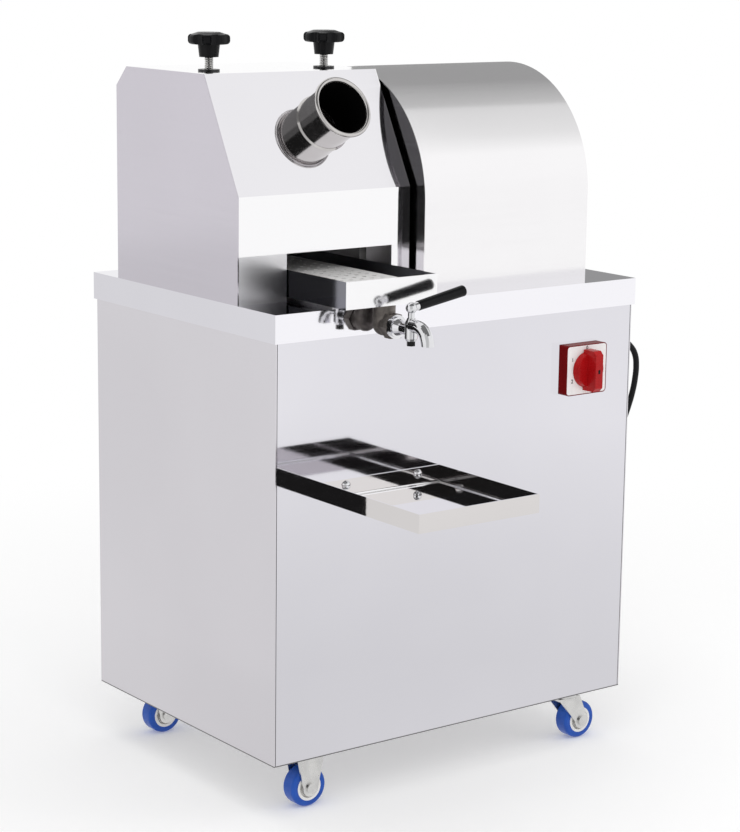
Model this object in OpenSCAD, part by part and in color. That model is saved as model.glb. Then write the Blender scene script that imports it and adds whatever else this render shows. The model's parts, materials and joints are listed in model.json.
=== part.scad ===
// Electric sugarcane juicer: a polished sheet-metal cabinet on casters, with a roller mill under
// the left hood and its gearmotor under the arched cover on the right.
// Millimetres. +Z is up, the front faces -Y, and the floor is at Z = 0.
// Places on the machine are measured from the front left corner of the top pan:
// to the right, to the back, and up from the pan's top face.

/* [Cabinet] */
// Width of the top pan
pan_w = 560; // [545:5:620]
// Depth of the top pan
pan_d = 410; // [400:5:460]
// Height of the pan's turned-down lip
lip_h = 34; // [24:1:44]
// Height of the cabinet, lip included
cabinet_h = 546; // [480:2:620]
// How far the panels stand behind the lip
panel_inset = 3; // [2:0.5:5]
// Thickness of the sheet metal
sheet_t = 1.5; // [1:0.1:2]
// Open seam between the front panel and the side panels
seam = 0.8; // [0.4:0.1:1.5]
// Depth of the folded flanges on panels and base
flange_w = 16; // [10:1:24]
// Length of a vent slot
vent_len = 60; // [40:2:80]
// Height of a vent slot
vent_h = 5; // [4:0.5:7]
// Distance between vent slots
vent_pitch = 16; // [12:1:20]

/* [Casters] */
// Height from the floor to the cabinet
caster_h = 72; // [71:1:80]
// Wheel diameter
wheel_d = 50; // [46:1:51]
// Wheel width
wheel_w = 22; // [18:1:26]
// Thickness of the tyre's tread
tread_t = 8; // [6:0.5:10]
// Rigid casters from the left of the pan
caster_from_left = 73; // [60:1:84]
// Swivel casters from the right of the pan
caster_from_right = 68; // [60:1:80]
// Casters from the front and back of the pan
caster_from_front = 40; // [36:1:60]
// Distance of a swivel caster's axle behind its kingpin
swivel_trail = 22; // [16:1:24]
// Length of the mounting plate
mount_len = 62; // [56:1:70]
// Width of the mounting plate
mount_w = 50; // [44:1:56]
// Thickness of the mounting plate
mount_t = 2.5; // [2:0.1:3]
// Thickness of the fork legs
fork_t = 2.5; // [2:0.1:3]
// Axle diameter
axle_d = 8; // [6:0.5:10]

/* [Hood] */
// Width of the hood
hood_w = 252; // [248:1:256]
// Height of the hood, and of the motor cover
hood_h = 265; // [262:1:275]
// Front face of the hood, from the front of the pan
hood_front = 78; // [70:1:84]
// Depth of the hood
hood_d = 271; // [264:1:300]
// Height where the front face starts to slant
hood_break_h = 127; // [115:1:140]
// How far the slanted plate leans back
hood_slant = 73; // [66:1:76]
// Depth and drop of the rear top chamfer
hood_chamfer = 24; // [16:1:30]
// Height of the open slot below the front plate
slot_h = 57; // [50:1:70]
// Height of the waste outlet at the rear
outlet_h = 150; // [140:1:170]
// Width of the open slot
slot_w = 155.5; // [150:0.5:158]
// Gap between the slot's left edge and the juice tray
slot_gap = 1.5; // [1:0.5:2]

/* [Feed tube] */
// Outer diameter of the feed tube
tube_od = 68.5; // [60:0.5:72]
// Wall of the feed tube
tube_wall = 1.5; // [1.2:0.1:2]
// Length outside the slanted plate, along the axis
tube_out = 49; // [40:1:60]
// Length inside the slanted plate
tube_in = 18; // [12:1:22]
// Axis from the left of the pan
tube_from_left = 149; // [140:1:152]
// Height where the axis meets the slanted plate
tube_base_h = 204.5; // [198:0.5:210]
// Outer diameter of the rolled rim at the mouth
rim_d = 77.5; // [76:0.5:79]
// Diameter of the rolled bead
bead_d = 5.6; // [5.4:0.2:6]
// Diameter of the weld ring at the base
collar_d = 72.5; // [71:0.5:80]
// Height of the weld ring
collar_h = 2; // [1:0.5:4]

/* [Motor cover] */
// Gap between the hood and the motor cover
cover_gap = 2.7; // [2:0.1:6]
// Width of the motor cover
cover_w = 264; // [256:1:270]
// Front of the motor cover, from the front of the pan
cover_front = 51; // [46:1:60]
// Radius of the arch
cover_r = 157; // [152:1:162]
// How far the end walls stand inside the arch
cover_end_inset = 3; // [2:0.5:8]

/* [Pressure screws] */
// Distance between the two screws
screw_span = 169; // [166:1:172]
// Screw and upper roller axis, from the front of the pan
screw_back = 203; // [198:1:210]
// Screw diameter
screw_d = 11; // [10:0.5:14]
// Bare screw between hood and knob
knob_lift = 16.5; // [14:0.5:24]
// Diameter of the star knob
knob_d = 51; // [46:1:60]
// Height of the knob's lobes
knob_h = 12; // [10:0.5:16]
// Height of the knob's hub
hub_h = 15; // [10:0.5:18]
// Number of lobes
knob_lobes = 7; // [5:1:8]

/* [Mill] */
// Thickness of the frame plates
mill_t = 10; // [8:0.5:10]
// Height of the frame plates
mill_h = 232; // [228:1:236]
// Height of the upper roller's axis
upper_axis_h = 165.5; // [160:0.5:170]
// Sideways distance of each lower roller from the upper one
lower_spread = 46; // [45:0.5:50]
// Smallest opening between two rollers
nip_gap = 3; // [2:0.5:5]
// Diameter of the roller shafts
shaft_d = 30; // [24:1:32]
// Number of grooves round each roller
groove_count = 15; // [8:1:18]
// Depth of the grooves
groove_depth = 2; // [1:0.5:3]
// Teeth on each gear
gear_teeth = 20; // [18:1:20]
// Module of the gears
gear_module = 4; // [3.8:0.1:4.1]
// Width of the gears
gear_w = 20; // [16:1:22]

/* [Juice tray] */
// Width of the tray
tray_w = 133; // [124:1:133]
// Left side of the tray, from the left of the pan
tray_from_left = 71; // [66:1:71]
// How far the tray stands out over the lip
tray_out = 39; // [37:1:45]
// How far the tray reaches under the mill
tray_in = 300; // [260:2:310]
// Height of the tray
tray_h = 32.5; // [26:0.5:36]
// Height of the tray's floor above the pan
tray_lift = 5; // [4:0.5:8]
// Hole diameter in the strainer
strainer_hole_d = 6; // [4:0.5:7]
// Distance between strainer holes
strainer_pitch = 15; // [12:1:20]

/* [Tap] */
// Tap axis from the left of the pan
tap_from_left = 142; // [120:1:160]
// Level of the pipe below the pan's top
tap_drop = 20; // [18:1:24]
// Outlet pipe, in front of the lip
pipe_out = 18; // [17:1:21]
// Diameter of the cast outlet pipe
pipe_d = 27; // [25:1:30]
// Flange of the tap, in front of the lip
tap_flange_out = 41; // [40:1:46]
// Plug axis, in front of the lip
plug_out = 70; // [68:1:76]
// Spout end, in front of the lip
spout_out = 101.5; // [99:0.5:106]
// Diameter of the spout
spout_d = 15.5; // [13:0.5:16]
// Length of the lever's grip
grip_len = 69; // [50:1:75]
// Diameter of the grip at its tip
grip_d = 13.4; // [12:0.2:15]

/* [Cup shelf] */
// Width of the shelf
shelf_w = 177; // [150:1:220]
// Left side of the shelf, from the left of the pan
shelf_from_left = 69; // [50:1:90]
// How far the shelf reaches out from the front panel
shelf_reach = 187; // [150:1:200]
// Height of the shelf's walls
shelf_h = 22.4; // [20:0.2:30]
// Rim of the shelf below the pan's top
shelf_drop = 205.7; // [190:0.1:260]
// Distance between the shelf bolts
shelf_bolt_span = 108; // [90:1:130]
// Shank diameter of the shelf bolts
bolt_d = 6; // [5:0.5:8]

/* [Switch] */
// Width of the switch box
switch_w = 67; // [60:1:72]
// Height of the switch box
switch_h = 64; // [60:1:70]
// How far the box stands out
switch_out = 14.7; // [12:0.1:20]
// Centre of the switch, from the right of the pan
switch_from_right = 90.5; // [70:0.5:110]
// Centre of the switch, below the pan's top
switch_drop = 108; // [90:1:130]
// Diameter of the knob's round base
dial_d = 46; // [40:1:50]
// Length of the knob's bar
dial_bar_len = 52; // [46:1:54]
// Width of the knob's bar
dial_bar_w = 12; // [10:0.5:14]
// Height of the knob's bar above the face
dial_bar_h = 24; // [18:0.5:28]

/* [Cord] */
// Diameter of the mains cord
cord_d = 8; // [6:0.5:9]
// Gland from the front of the pan
gland_from_front = 64; // [55:1:75]
// Gland below the pan's top
gland_drop = 94; // [80:1:110]
// Length of the gland outside the panel
gland_len = 24; // [20:1:30]
// Radius of the coil's outer turn
coil_r = 52; // [48:1:56]
// Clear gap between the turns of the coil
coil_gap = 1.2; // [0.6:0.1:2]

/* [Hidden] */
$fn = 64;

// Clearances
run_fit = 0.05;
rest_gap = 0.3;
loose_fit = 1;
over = 1;

// Frame: floor at zero, centred over the outline from shelf front to chute end
chute_over = 20;
top_z = caster_h + cabinet_h;
x_left = -pan_w / 2;
y_front = (shelf_reach - panel_inset - pan_d - chute_over) / 2;
function at(a, d, z) = [x_left + a, y_front + d, top_z + z];

// Colours
steel = "#d6d5dc";
dark_steel = "#8f8f96";
zinc = "#b9bcc2";
cast = "#7d776f";
chrome = "#e6e8ee";
black = "#1b1b1e";
red = "#b3121a";
white = "#f2f1ee";
blue = "#2f62a8";
motor_grey = "#70767d";

// Casters
fork_gap = 0.8;
hub_w = wheel_w + fork_gap;
leg_in = hub_w / 2 + fork_gap;
leg_foot_r = 11;
leg_top_w = 40;
race_d = 38;
race_h = 8.5;
crown_gap = 0.6;
crown_t = 3;
crown_d = 36;
kingpin_d = 8;
pin_head_d = 14;
pin_head_h = 2.5;
nut_w = 13;
nut_h = 5;
mount_hole_d = 6.5;
mount_hole_edge = 8;
mount_corner = 5;
hub_web_t = 10;
hub_boss_d = 18;
hub_rim_t = 3.5;
tyre_round = 4;
round_steps = 6;
wheel_z = wheel_d / 2;
mount_z = caster_h - mount_t;
race_z = mount_z - race_h;
crown_z = race_z - crown_gap - crown_t;
caster_right = pan_w - caster_from_right;
caster_rear = pan_d - caster_from_front;

// Hood
hood_back = hood_front + hood_d;
hood_mid = hood_w / 2;
slant_rise = hood_h - hood_break_h;
plate_tilt = atan2(hood_slant, slant_rise);
tube_base = hood_front + (tube_base_h - hood_break_h) * hood_slant / slant_rise;
slot_left = tray_from_left - slot_gap;
hood_outline = [
    [hood_front, 0],
    [hood_front, hood_break_h],
    [hood_front + hood_slant, hood_h],
    [hood_back - hood_chamfer, hood_h],
    [hood_back, hood_h - hood_chamfer],
    [hood_back, 0]
];
cover_left = hood_w + cover_gap;
cover_mid = cover_front + cover_r;

// Waste chute
chute_top_h = 96;
chute_end_h = 30;
chute_start = 293;
chute_cheek_h = 40;
chute_end = pan_d + chute_over;
function chute_floor(d) = chute_top_h
    + (chute_end_h - chute_top_h) * (d - chute_start) / (chute_end - chute_start);

// Mill
left_plate = hood_mid - screw_span / 2 - mill_t / 2;
right_plate = hood_mid + screw_span / 2 - mill_t / 2;
mill_half = 86;
mill_top_half = 53;
mill_foot_w = 20;
mill_foot_h = 8;
mill_shoulder_h = 150;
block_w = 52;
block_drop = 30;
head_w = 30;
head_len = 100;
head_h = 14;
tie_d = 14;
tie_in = 10;
tie_low_h = 55;
gear_r = gear_module * gear_teeth / 2;
axis_drop = sqrt(4 * gear_r * gear_r - lower_spread * lower_spread);
lower_axis_h = upper_axis_h - axis_drop;
mesh_angle = atan2(axis_drop, lower_spread);
roller_r = gear_r - nip_gap / 2;
roller_gap = 2;
roller_left = left_plate + mill_t + roller_gap;
roller_len = right_plate - roller_gap - roller_left;
shaft_stub = 6;
shaft_left = left_plate - shaft_stub;
gear_gap = 3;
gear_left = right_plate + mill_t + gear_gap;
gear_right = gear_left + gear_w;
lower_shaft_right = gear_right + roller_gap;
pressure_angle = 20;
tooth_addendum_share = 0.9;
tooth_dedendum_share = 1.25;
backlash_angle = 0.25;
flank_steps = 4;
base_r = gear_r * cos(pressure_angle);
tip_r = gear_r + tooth_addendum_share * gear_module;
root_r = gear_r - tooth_dedendum_share * gear_module;
block_top = upper_axis_h + tip_r + loose_fit;

// Gearmotor
case_left = cover_left + 14;
case_w = 96;
case_half = 62;
case_over = 62;
case_foot_out = 16;
case_foot_h = 10;
motor_d = 122;
motor_len = 104;
motor_fins = 8;
fin_t = 4;
fin_h = 5;
shaft_short = 10;
upper_shaft_right = case_left + case_w - shaft_short;

// Pressure screws
pad_d = 24;
pad_h = 10;
pad_floor = 4;
tip_d = 8;
hub_d = 27;
lobe_round = 4.5;
crown_h = 2.5;
scallop_share = 0.36;
scallop_place_share = 1.16;
washer_d = 26;
washer_h = 2;
pad_z = block_top + rest_gap;
hub_z = hood_h + knob_lift;
lobe_z = hub_z + hub_h;
screw_top = lobe_z + knob_h / 2;

// Juice tray
tray_right = tray_from_left + tray_w;
tray_rim = tray_lift + tray_h;
tray_len = tray_out + tray_in;
runner_w = 10;
runner_in = 12;
strainer_share = 0.7;
strainer_below = 4;
strainer_edge = 12;
tray_ear = 12;
outlet_hole_d = 20;

// Tap
pipe_hex_w = 32;
pipe_hex_len = 11;
tap_flange_d = 28.5;
tap_flange_t = 2.2;
tap_ring_d = 24.5;
tap_ring_t = 3.4;
tap_cone_d = 20;
tap_cone_len = 8;
tap_barrel_d = 14;
housing_d = 15.5;
housing_top = -6;
housing_bottom = -32.5;
housing_foot_d = 12;
housing_foot_h = 3;
shoulder_d = 9.5;
shoulder_h = 6;
spout_rise = 5.5;
spout_bend_r = 20;
spout_bore_d = 11;
spout_bore_h = 8;
plug_d = 8;
bulb_d = 13.5;
bulb_z = 6;
plug_nut_w = 10.5;
plug_nut_h = 5.5;
lever_rise = 10.5;
lever_stub_d = 10;
grip_start = 10;
grip_neck_d = 11.6;
grip_round = 2.5;

// Cup shelf
shelf_bolt_mid = shelf_from_left + shelf_w / 2;
shelf_bolt_drop = shelf_drop + shelf_h / 3;
bolt_head_d = 12;
bolt_head_h = 5;
bolt_nut_w = 10;
bolt_nut_h = 5;

// Switch
switch_mid = pan_w - switch_from_right;
switch_round = 5;
switch_rim = 1.2;
face_t = 2;
switch_back_d = 44;
switch_back_len = 45;
spindle_d = 8;
spindle_len = 20;
dial_h = 8;
dial_gap = 0.5;
dial_chamfer = 5;

// Cord
cord_sides = 8;
coil_sides = 6;
ring_step = 22;
gland_nut_w = 24;
gland_nut_len = 6;
gland_dome_d = 20;
gland_tip_d = 11;
plug_cone_len = 18;
plug_cone_d = 14;
plug_len = 36;
plug_w = 32;
plug_h = 25;
plug_round = 6;
pin_len = 18;
pin_w = 6.4;
pin_t = 1.6;
pin_spread = 7.5;
gland_tip = at(pan_w - panel_inset + gland_len, gland_from_front, -gland_drop);
lie = cord_d / 2 + rest_gap;

// Hang of the cord, from the gland's tip: out, back and up
cord_hang = [
    [-2, 0, 0], [10, 0, 0], [24, 0, -2.8], [35.6, 0, -10.6], [43.6, 0.1, -22.6],
    [46.4, 0.5, -37], [46.4, 1.6, -53], [44.4, 3.6, -72], [40.4, 6.8, -93], [34.6, 12.5, -119]
];
// Fall to the floor: out from the pan, back from the gland, and height
cord_fall = [
    [49, 22, 372], [42, 37, 325], [36, 61, 262], [32, 96, 186], [30, 139, 106], [30, 183, 46], [30, 222, 15.5]
];
// Way along the floor to the coil, from the pan's right rear corner
cord_floor = [
    [29.5, -89], [26, -51], [12, -15], [-17, 10], [-58, 18.5], [-102, 19], [-146, 19], [-190, 19]
];
cord_route = concat(
    [for (p = cord_hang) gland_tip + p],
    [for (p = cord_fall) [x_left + pan_w + p[0], gland_tip[1] + p[1], p[2]]],
    [for (p = cord_floor) [x_left + pan_w + p[0], y_front + pan_d + p[1], lie]]
);
route_end = cord_route[len(cord_route) - 1];

// Vectors and outlines
function unit(v) = v / norm(v);
function right_of(v) = [v[1], -v[0]];

// An outline drawn clockwise, moved inwards by t
function inset(points, t) = let (n = len(points)) [
    for (i = [0 : n - 1])
        let (
            into = right_of(unit(points[i] - points[(i + n - 1) % n])),
            away = right_of(unit(points[(i + 1) % n] - points[i]))
        )
        points[i] + t * (into + away) / (1 + into * away)
];

// Block between two corners given on the machine
module block(a0, d0, z0, a1, d1, z1) {
    translate(at(a0, d0, z0)) cube([a1 - a0, d1 - d0, z1 - z0]);
}

// Outline in the side view, extruded to the right
module side_profile(a, width) {
    translate(at(a, 0, 0)) rotate([90, 0, 90]) linear_extrude(width) children();
}

// Rods along X, Y and Z that start at a place on the machine
module rod_x(a, d, z, diameter, length) {
    translate(at(a, d, z)) rotate([0, 90, 0]) cylinder(d = diameter, h = length);
}

module rod_y(a, d, z, diameter, length) {
    translate(at(a, d, z)) rotate([-90, 0, 0]) cylinder(d = diameter, h = length);
}

module rod_z(a, d, z, diameter, length) {
    translate(at(a, d, z)) cylinder(d = diameter, h = length);
}

// Rectangle about the origin with round corners
module round_rect(w, h, r) {
    square([w - 2 * r, h], center = true);
    square([w, h - 2 * r], center = true);
    for (x = [-1, 1], y = [-1, 1]) translate([x * (w / 2 - r), y * (h / 2 - r)]) circle(r);
}

// Cabinet
module top_pan() {
    color(steel) difference() {
        block(0, 0, -lip_h, pan_w, pan_d, 0);
        block(sheet_t, sheet_t, -lip_h - over, pan_w - sheet_t, pan_d - sheet_t, -sheet_t);
    }
}

side_in = panel_inset + sheet_t;
front_in = side_in + seam;

module front_panel() {
    color(steel) difference() {
        union() {
            block(front_in, panel_inset, -cabinet_h, pan_w - front_in, side_in, -sheet_t);
            for (a = [front_in, pan_w - front_in - sheet_t])
                block(a, panel_inset, -cabinet_h, a + sheet_t, panel_inset + flange_w, -sheet_t);
        }
        rod_y(switch_mid, 0, -switch_drop, switch_back_d + loose_fit, side_in + over);
        for (side = [-1, 1])
            rod_y(shelf_bolt_mid + side * shelf_bolt_span / 2, 0, -shelf_bolt_drop,
                bolt_d + loose_fit, side_in + over);
    }
}

module side_panel(a) {
    block(a, panel_inset, -cabinet_h, a + sheet_t, pan_d - panel_inset, -sheet_t);
}

module left_side_panel() {
    color(steel) side_panel(panel_inset);
}

module right_side_panel() {
    color(steel) difference() {
        side_panel(pan_w - side_in);
        rod_x(pan_w - side_in - over, gland_from_front, -gland_drop, cord_d + loose_fit, flange_w);
    }
}

// A column of level slots through a wall in the Y direction
module vent_column(a, d, z, count) {
    for (i = [0 : count - 1])
        block(a - vent_len / 2, d - over, z - i * vent_pitch,
            a + vent_len / 2, d + sheet_t + over, z - i * vent_pitch + vent_h);
}

module rear_panel() {
    vents = 6;
    wall = pan_d - side_in;
    color(steel) difference() {
        block(front_in, wall, -cabinet_h, pan_w - front_in, wall + sheet_t, -sheet_t);
        for (side = [-1, 1])
            vent_column(pan_w / 2 + side * pan_w / 4, wall, -cabinet_h / 4, vents);
    }
}

module base_plate() {
    inner = side_in + sheet_t;
    color(steel) difference() {
        block(side_in, side_in, -cabinet_h, pan_w - side_in, pan_d - side_in, flange_w - cabinet_h);
        block(inner, inner, sheet_t - cabinet_h, pan_w - inner, pan_d - inner, flange_w);
        for (a = [0, pan_w - front_in - sheet_t])
            block(a, 0, -cabinet_h - over, a + front_in + sheet_t, panel_inset + flange_w, flange_w);
    }
}

// Casters
module caster_place(a, d) {
    translate([x_left + a, y_front + d, 0]) children();
}

module mount_plate() {
    translate([0, 0, mount_z]) linear_extrude(mount_t) difference() {
        round_rect(mount_len, mount_w, mount_corner);
        for (x = [-1, 1], y = [-1, 1])
            translate([x * (mount_len / 2 - mount_hole_edge), y * (mount_w / 2 - mount_hole_edge)])
                circle(d = mount_hole_d);
    }
}

// Axle with a round head in front and a nut behind
module axle(reach) {
    rotate([90, 0, 0]) {
        cylinder(d = axle_d, h = 2 * reach, center = true);
        translate([0, 0, reach]) cylinder(d = nut_w, h = nut_h / 2);
        translate([0, 0, -reach - nut_h]) cylinder(d = nut_w, h = nut_h, $fn = 6);
    }
}

// Two legs from a level top edge down to the axle
module legs(top_z, top_w, trail) {
    reach = leg_in + fork_t;
    for (side = [-1, 1])
        translate([0, side * (leg_in + fork_t / 2), 0]) rotate([90, 0, 0])
            linear_extrude(fork_t, center = true) {
                polygon([
                    [-top_w / 2, top_z],
                    [top_w / 2, top_z],
                    [trail + leg_foot_r, wheel_z],
                    [trail - leg_foot_r, wheel_z]
                ]);
                translate([trail, wheel_z]) circle(leg_foot_r);
            }
    translate([trail, 0, wheel_z]) axle(reach);
}

module rigid_forks() {
    color(zinc) for (d = [caster_from_front, caster_rear]) caster_place(caster_from_left, d) {
        mount_plate();
        legs(mount_z, leg_top_w, 0);
        translate([-leg_top_w / 2, -leg_in - fork_t, mount_z - fork_t])
            cube([leg_top_w, 2 * (leg_in + fork_t), fork_t]);
    }
}

module swivel_plates() {
    pin_bottom = crown_z - rest_gap - pin_head_h;
    color(zinc) for (d = [caster_from_front, caster_rear]) caster_place(caster_right, d) {
        mount_plate();
        translate([0, 0, race_z]) cylinder(d = race_d, h = race_h);
        translate([0, 0, pin_bottom]) cylinder(d = kingpin_d, h = race_z - pin_bottom);
        translate([0, 0, pin_bottom]) cylinder(d = pin_head_d, h = pin_head_h);
    }
}

module swivel_fork(d) {
    color(zinc) caster_place(caster_right, d) {
        difference() {
            union() {
                translate([0, 0, crown_z]) cylinder(d = crown_d, h = crown_t);
                translate([-crown_d / 2, -leg_in - fork_t, crown_z])
                    cube([crown_d, 2 * (leg_in + fork_t), crown_t]);
            }
            translate([0, 0, crown_z - over]) cylinder(d = kingpin_d + 2 * run_fit, h = crown_t + 2 * over);
        }
        legs(crown_z + crown_t, crown_d, swivel_trail);
    }
}

module swivel_fork_front() {
    swivel_fork(caster_from_front);
}

module swivel_fork_rear() {
    swivel_fork(caster_rear);
}

module wheel_place(a, d) {
    caster_place(a, d) translate([0, 0, wheel_z]) rotate([90, 0, 0]) children();
}

// Tread ring with rounded shoulders
module tyre(a, d) {
    inner_r = wheel_d / 2 - tread_t;
    shoulder = [wheel_d / 2 - tyre_round, wheel_w / 2 - tyre_round];
    outline = concat(
        [[inner_r, -wheel_w / 2]],
        [for (i = [0 : round_steps])
            [shoulder[0], -shoulder[1]] + polar(tyre_round, 90 * i / round_steps - 90)],
        [for (i = [0 : round_steps]) shoulder + polar(tyre_round, 90 * i / round_steps)],
        [[inner_r, wheel_w / 2]]
    );
    color(blue) wheel_place(a, d) rotate_extrude() polygon(outline);
}

// Hub with a rim, a thin web and a boss round the axle
module hub(a, d) {
    rim_r = wheel_d / 2 - tread_t;
    color(white) wheel_place(a, d) rotate_extrude() difference() {
        union() {
            translate([0, -hub_w / 2]) square([hub_boss_d / 2, hub_w]);
            translate([0, -hub_web_t / 2]) square([rim_r, hub_web_t]);
            translate([rim_r - hub_rim_t, -wheel_w / 2]) square([hub_rim_t, wheel_w]);
        }
        translate([0, -hub_w]) square([axle_d / 2 + run_fit, 2 * hub_w]);
    }
}

module tyre_front_left() {
    tyre(caster_from_left, caster_from_front);
}

module tyre_rear_left() {
    tyre(caster_from_left, caster_rear);
}

module tyre_front_right() {
    tyre(caster_right + swivel_trail, caster_from_front);
}

module tyre_rear_right() {
    tyre(caster_right + swivel_trail, caster_rear);
}

module hub_front_left() {
    hub(caster_from_left, caster_from_front);
}

module hub_rear_left() {
    hub(caster_from_left, caster_rear);
}

module hub_front_right() {
    hub(caster_right + swivel_trail, caster_from_front);
}

module hub_rear_right() {
    hub(caster_right + swivel_trail, caster_rear);
}

// Hood
module tube_axis() {
    translate(at(tube_from_left, tube_base, tube_base_h)) rotate([90 - plate_tilt, 0, 0]) children();
}

module screw_places() {
    for (side = [-1, 1]) translate(at(hood_mid + side * screw_span / 2, screw_back, 0)) children();
}

// Bent sheet between the hood's sides, along the outline from one corner to another
module hood_sheet(first, last) {
    inner = inset(hood_outline, sheet_t);
    side_profile(sheet_t, hood_w - 2 * sheet_t) polygon(concat(
        [for (i = [first : last]) hood_outline[i]],
        [for (i = [last : -1 : first]) inner[i]]
    ));
}

// Front wall over the slot, and the slanted plate with the feed hole
module hood_face() {
    color(steel) difference() {
        hood_sheet(0, 2);
        block(0, hood_front - over, -over, hood_w, hood_front + 2 * sheet_t, slot_h);
        tube_axis() translate([0, 0, -tube_in]) cylinder(d = tube_od + 2 * rest_gap, h = tube_in + tube_out);
    }
}

// Top, rear chamfer, and the rear wall over the waste outlet
module hood_top() {
    color(steel) difference() {
        hood_sheet(2, 5);
        block(0, hood_back - 2 * sheet_t, -over, hood_w, hood_back + over, outlet_h);
        screw_places() cylinder(d = screw_d + 2 * loose_fit, h = hood_h + over);
    }
}

// Side wall with a folded leg beside the front slot
module hood_side(a, leg_from, leg_to) {
    side_profile(a, sheet_t) polygon(hood_outline);
    block(leg_from, hood_front, 0, leg_to, hood_front + sheet_t, slot_h);
}

module hood_left_side() {
    color(steel) hood_side(0, sheet_t - over, slot_left);
}

module hood_right_side() {
    color(steel) difference() {
        hood_side(hood_w - sheet_t, slot_left + slot_w, hood_w - sheet_t + over);
        rod_x(hood_w - flange_w, screw_back, upper_axis_h, shaft_d + 4 * loose_fit, 2 * flange_w);
    }
}

module feed_tube() {
    bore_d = tube_od - 2 * tube_wall;
    length = tube_in + tube_out;
    color(dark_steel) tube_axis() difference() {
        union() {
            translate([0, 0, -tube_in]) cylinder(d = tube_od, h = length - bead_d / 2);
            translate([0, 0, tube_out - bead_d / 2]) rotate_extrude()
                translate([(rim_d - bead_d) / 2, 0]) circle(d = bead_d);
            cylinder(d1 = collar_d, d2 = tube_od, h = collar_h);
        }
        translate([0, 0, -tube_in - over]) cylinder(d = bore_d, h = length + 2 * over);
    }
}

// Sloping waste chute with two cheeks, from behind the rear roller to past the pan
module bagasse_chute() {
    chute_left = left_plate + mill_t + roller_gap;
    chute_right = right_plate - roller_gap;
    floor_outline = [
        [chute_start, chute_top_h],
        [chute_end, chute_end_h],
        [chute_end, chute_end_h - 2 * sheet_t],
        [chute_start, chute_top_h - 2 * sheet_t]
    ];
    cheek_outline = [
        [chute_start, chute_top_h],
        [chute_start, chute_top_h + chute_cheek_h / 2],
        [chute_end, chute_end_h + chute_cheek_h],
        [chute_end, chute_end_h]
    ];
    leg_back = hood_back - sheet_t;
    leg_front = leg_back - flange_w;
    leg_outline = [
        [leg_front, 0],
        [leg_front, chute_floor(leg_front)],
        [leg_back, chute_floor(leg_back)],
        [leg_back, 0]
    ];
    color(steel) {
        side_profile(chute_left, chute_right - chute_left) polygon(floor_outline);
        for (a = [chute_left, chute_right - sheet_t]) {
            side_profile(a, sheet_t) polygon(cheek_outline);
            side_profile(a, sheet_t) polygon(leg_outline);
        }
    }
}

// Motor cover
module arch(r) {
    rise = hood_h - cover_r;
    translate([cover_mid, rise]) intersection() {
        circle(r, $fn = 180);
        translate([-r, 0]) square([2 * r, r]);
    }
    translate([cover_mid - r, 0]) square([2 * r, rise]);
}

module motor_cover() {
    color(steel) side_profile(cover_left, cover_w) difference() {
        arch(cover_r);
        arch(cover_r - sheet_t);
        translate([cover_front + sheet_t, -over]) square([2 * (cover_r - sheet_t), 2 * over]);
    }
}

module cover_end(a) {
    side_profile(a, sheet_t) arch(cover_r - sheet_t - rest_gap);
}

module cover_left_end() {
    color(steel) difference() {
        cover_end(cover_left + cover_end_inset);
        rod_x(cover_left, screw_back, upper_axis_h, shaft_d + 4 * loose_fit, flange_w);
    }
}

module cover_right_end() {
    vents = 6;
    wall = cover_left + cover_w - cover_end_inset - sheet_t;
    color(steel) difference() {
        cover_end(wall);
        for (i = [0 : vents - 1])
            block(wall - over, cover_mid - vent_len / 2, hood_h / 2 - i * vent_pitch,
                wall + sheet_t + over, cover_mid + vent_len / 2, hood_h / 2 - i * vent_pitch + vent_h);
    }
}

// Gear case on a foot, with a hollow shaft bore and a finned motor behind it
module gearmotor() {
    case_right = case_left + case_w;
    color(motor_grey) difference() {
        union() {
            block(case_left, screw_back - case_half, 0, case_right, screw_back + case_half,
                upper_axis_h);
            rod_x(case_left, screw_back, upper_axis_h, 2 * case_over, case_w);
            block(case_left, screw_back - case_half - case_foot_out, 0, case_right,
                screw_back + case_half + case_foot_out, case_foot_h);
            rod_x(case_right, screw_back, upper_axis_h, motor_d - 2 * fin_h, motor_len);
            for (i = [0 : motor_fins - 1])
                rod_x(case_right + (i + 1) * motor_len / (motor_fins + 2), screw_back, upper_axis_h,
                    motor_d, fin_t);
        }
        rod_x(case_left - over, screw_back, upper_axis_h, shaft_d + 2 * run_fit, case_w);
    }
}

// Mill
mill_outline = [
    [screw_back - mill_half, 0],
    [screw_back - mill_half, mill_shoulder_h],
    [screw_back - mill_top_half, mill_h],
    [screw_back + mill_half, mill_h],
    [screw_back + mill_half, 0]
];

module frame_plate(a, foot_a) {
    difference() {
        union() {
            side_profile(a, mill_t) polygon(mill_outline);
            block(foot_a, screw_back - mill_half, 0, foot_a + mill_foot_w, screw_back + mill_half,
                mill_foot_h);
        }
        block(a - over, screw_back - block_w / 2, upper_axis_h - block_drop,
            a + mill_t + over, screw_back + block_w / 2, mill_h + over);
        for (side = [-1, 1])
            rod_x(a - over, screw_back + side * lower_spread, lower_axis_h, shaft_d + 2 * run_fit,
                mill_t + 2 * over);
    }
}

module frame_plates() {
    color(dark_steel) {
        frame_plate(left_plate, left_plate - mill_foot_w);
        frame_plate(right_plate, right_plate + mill_t);
    }
}

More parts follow.
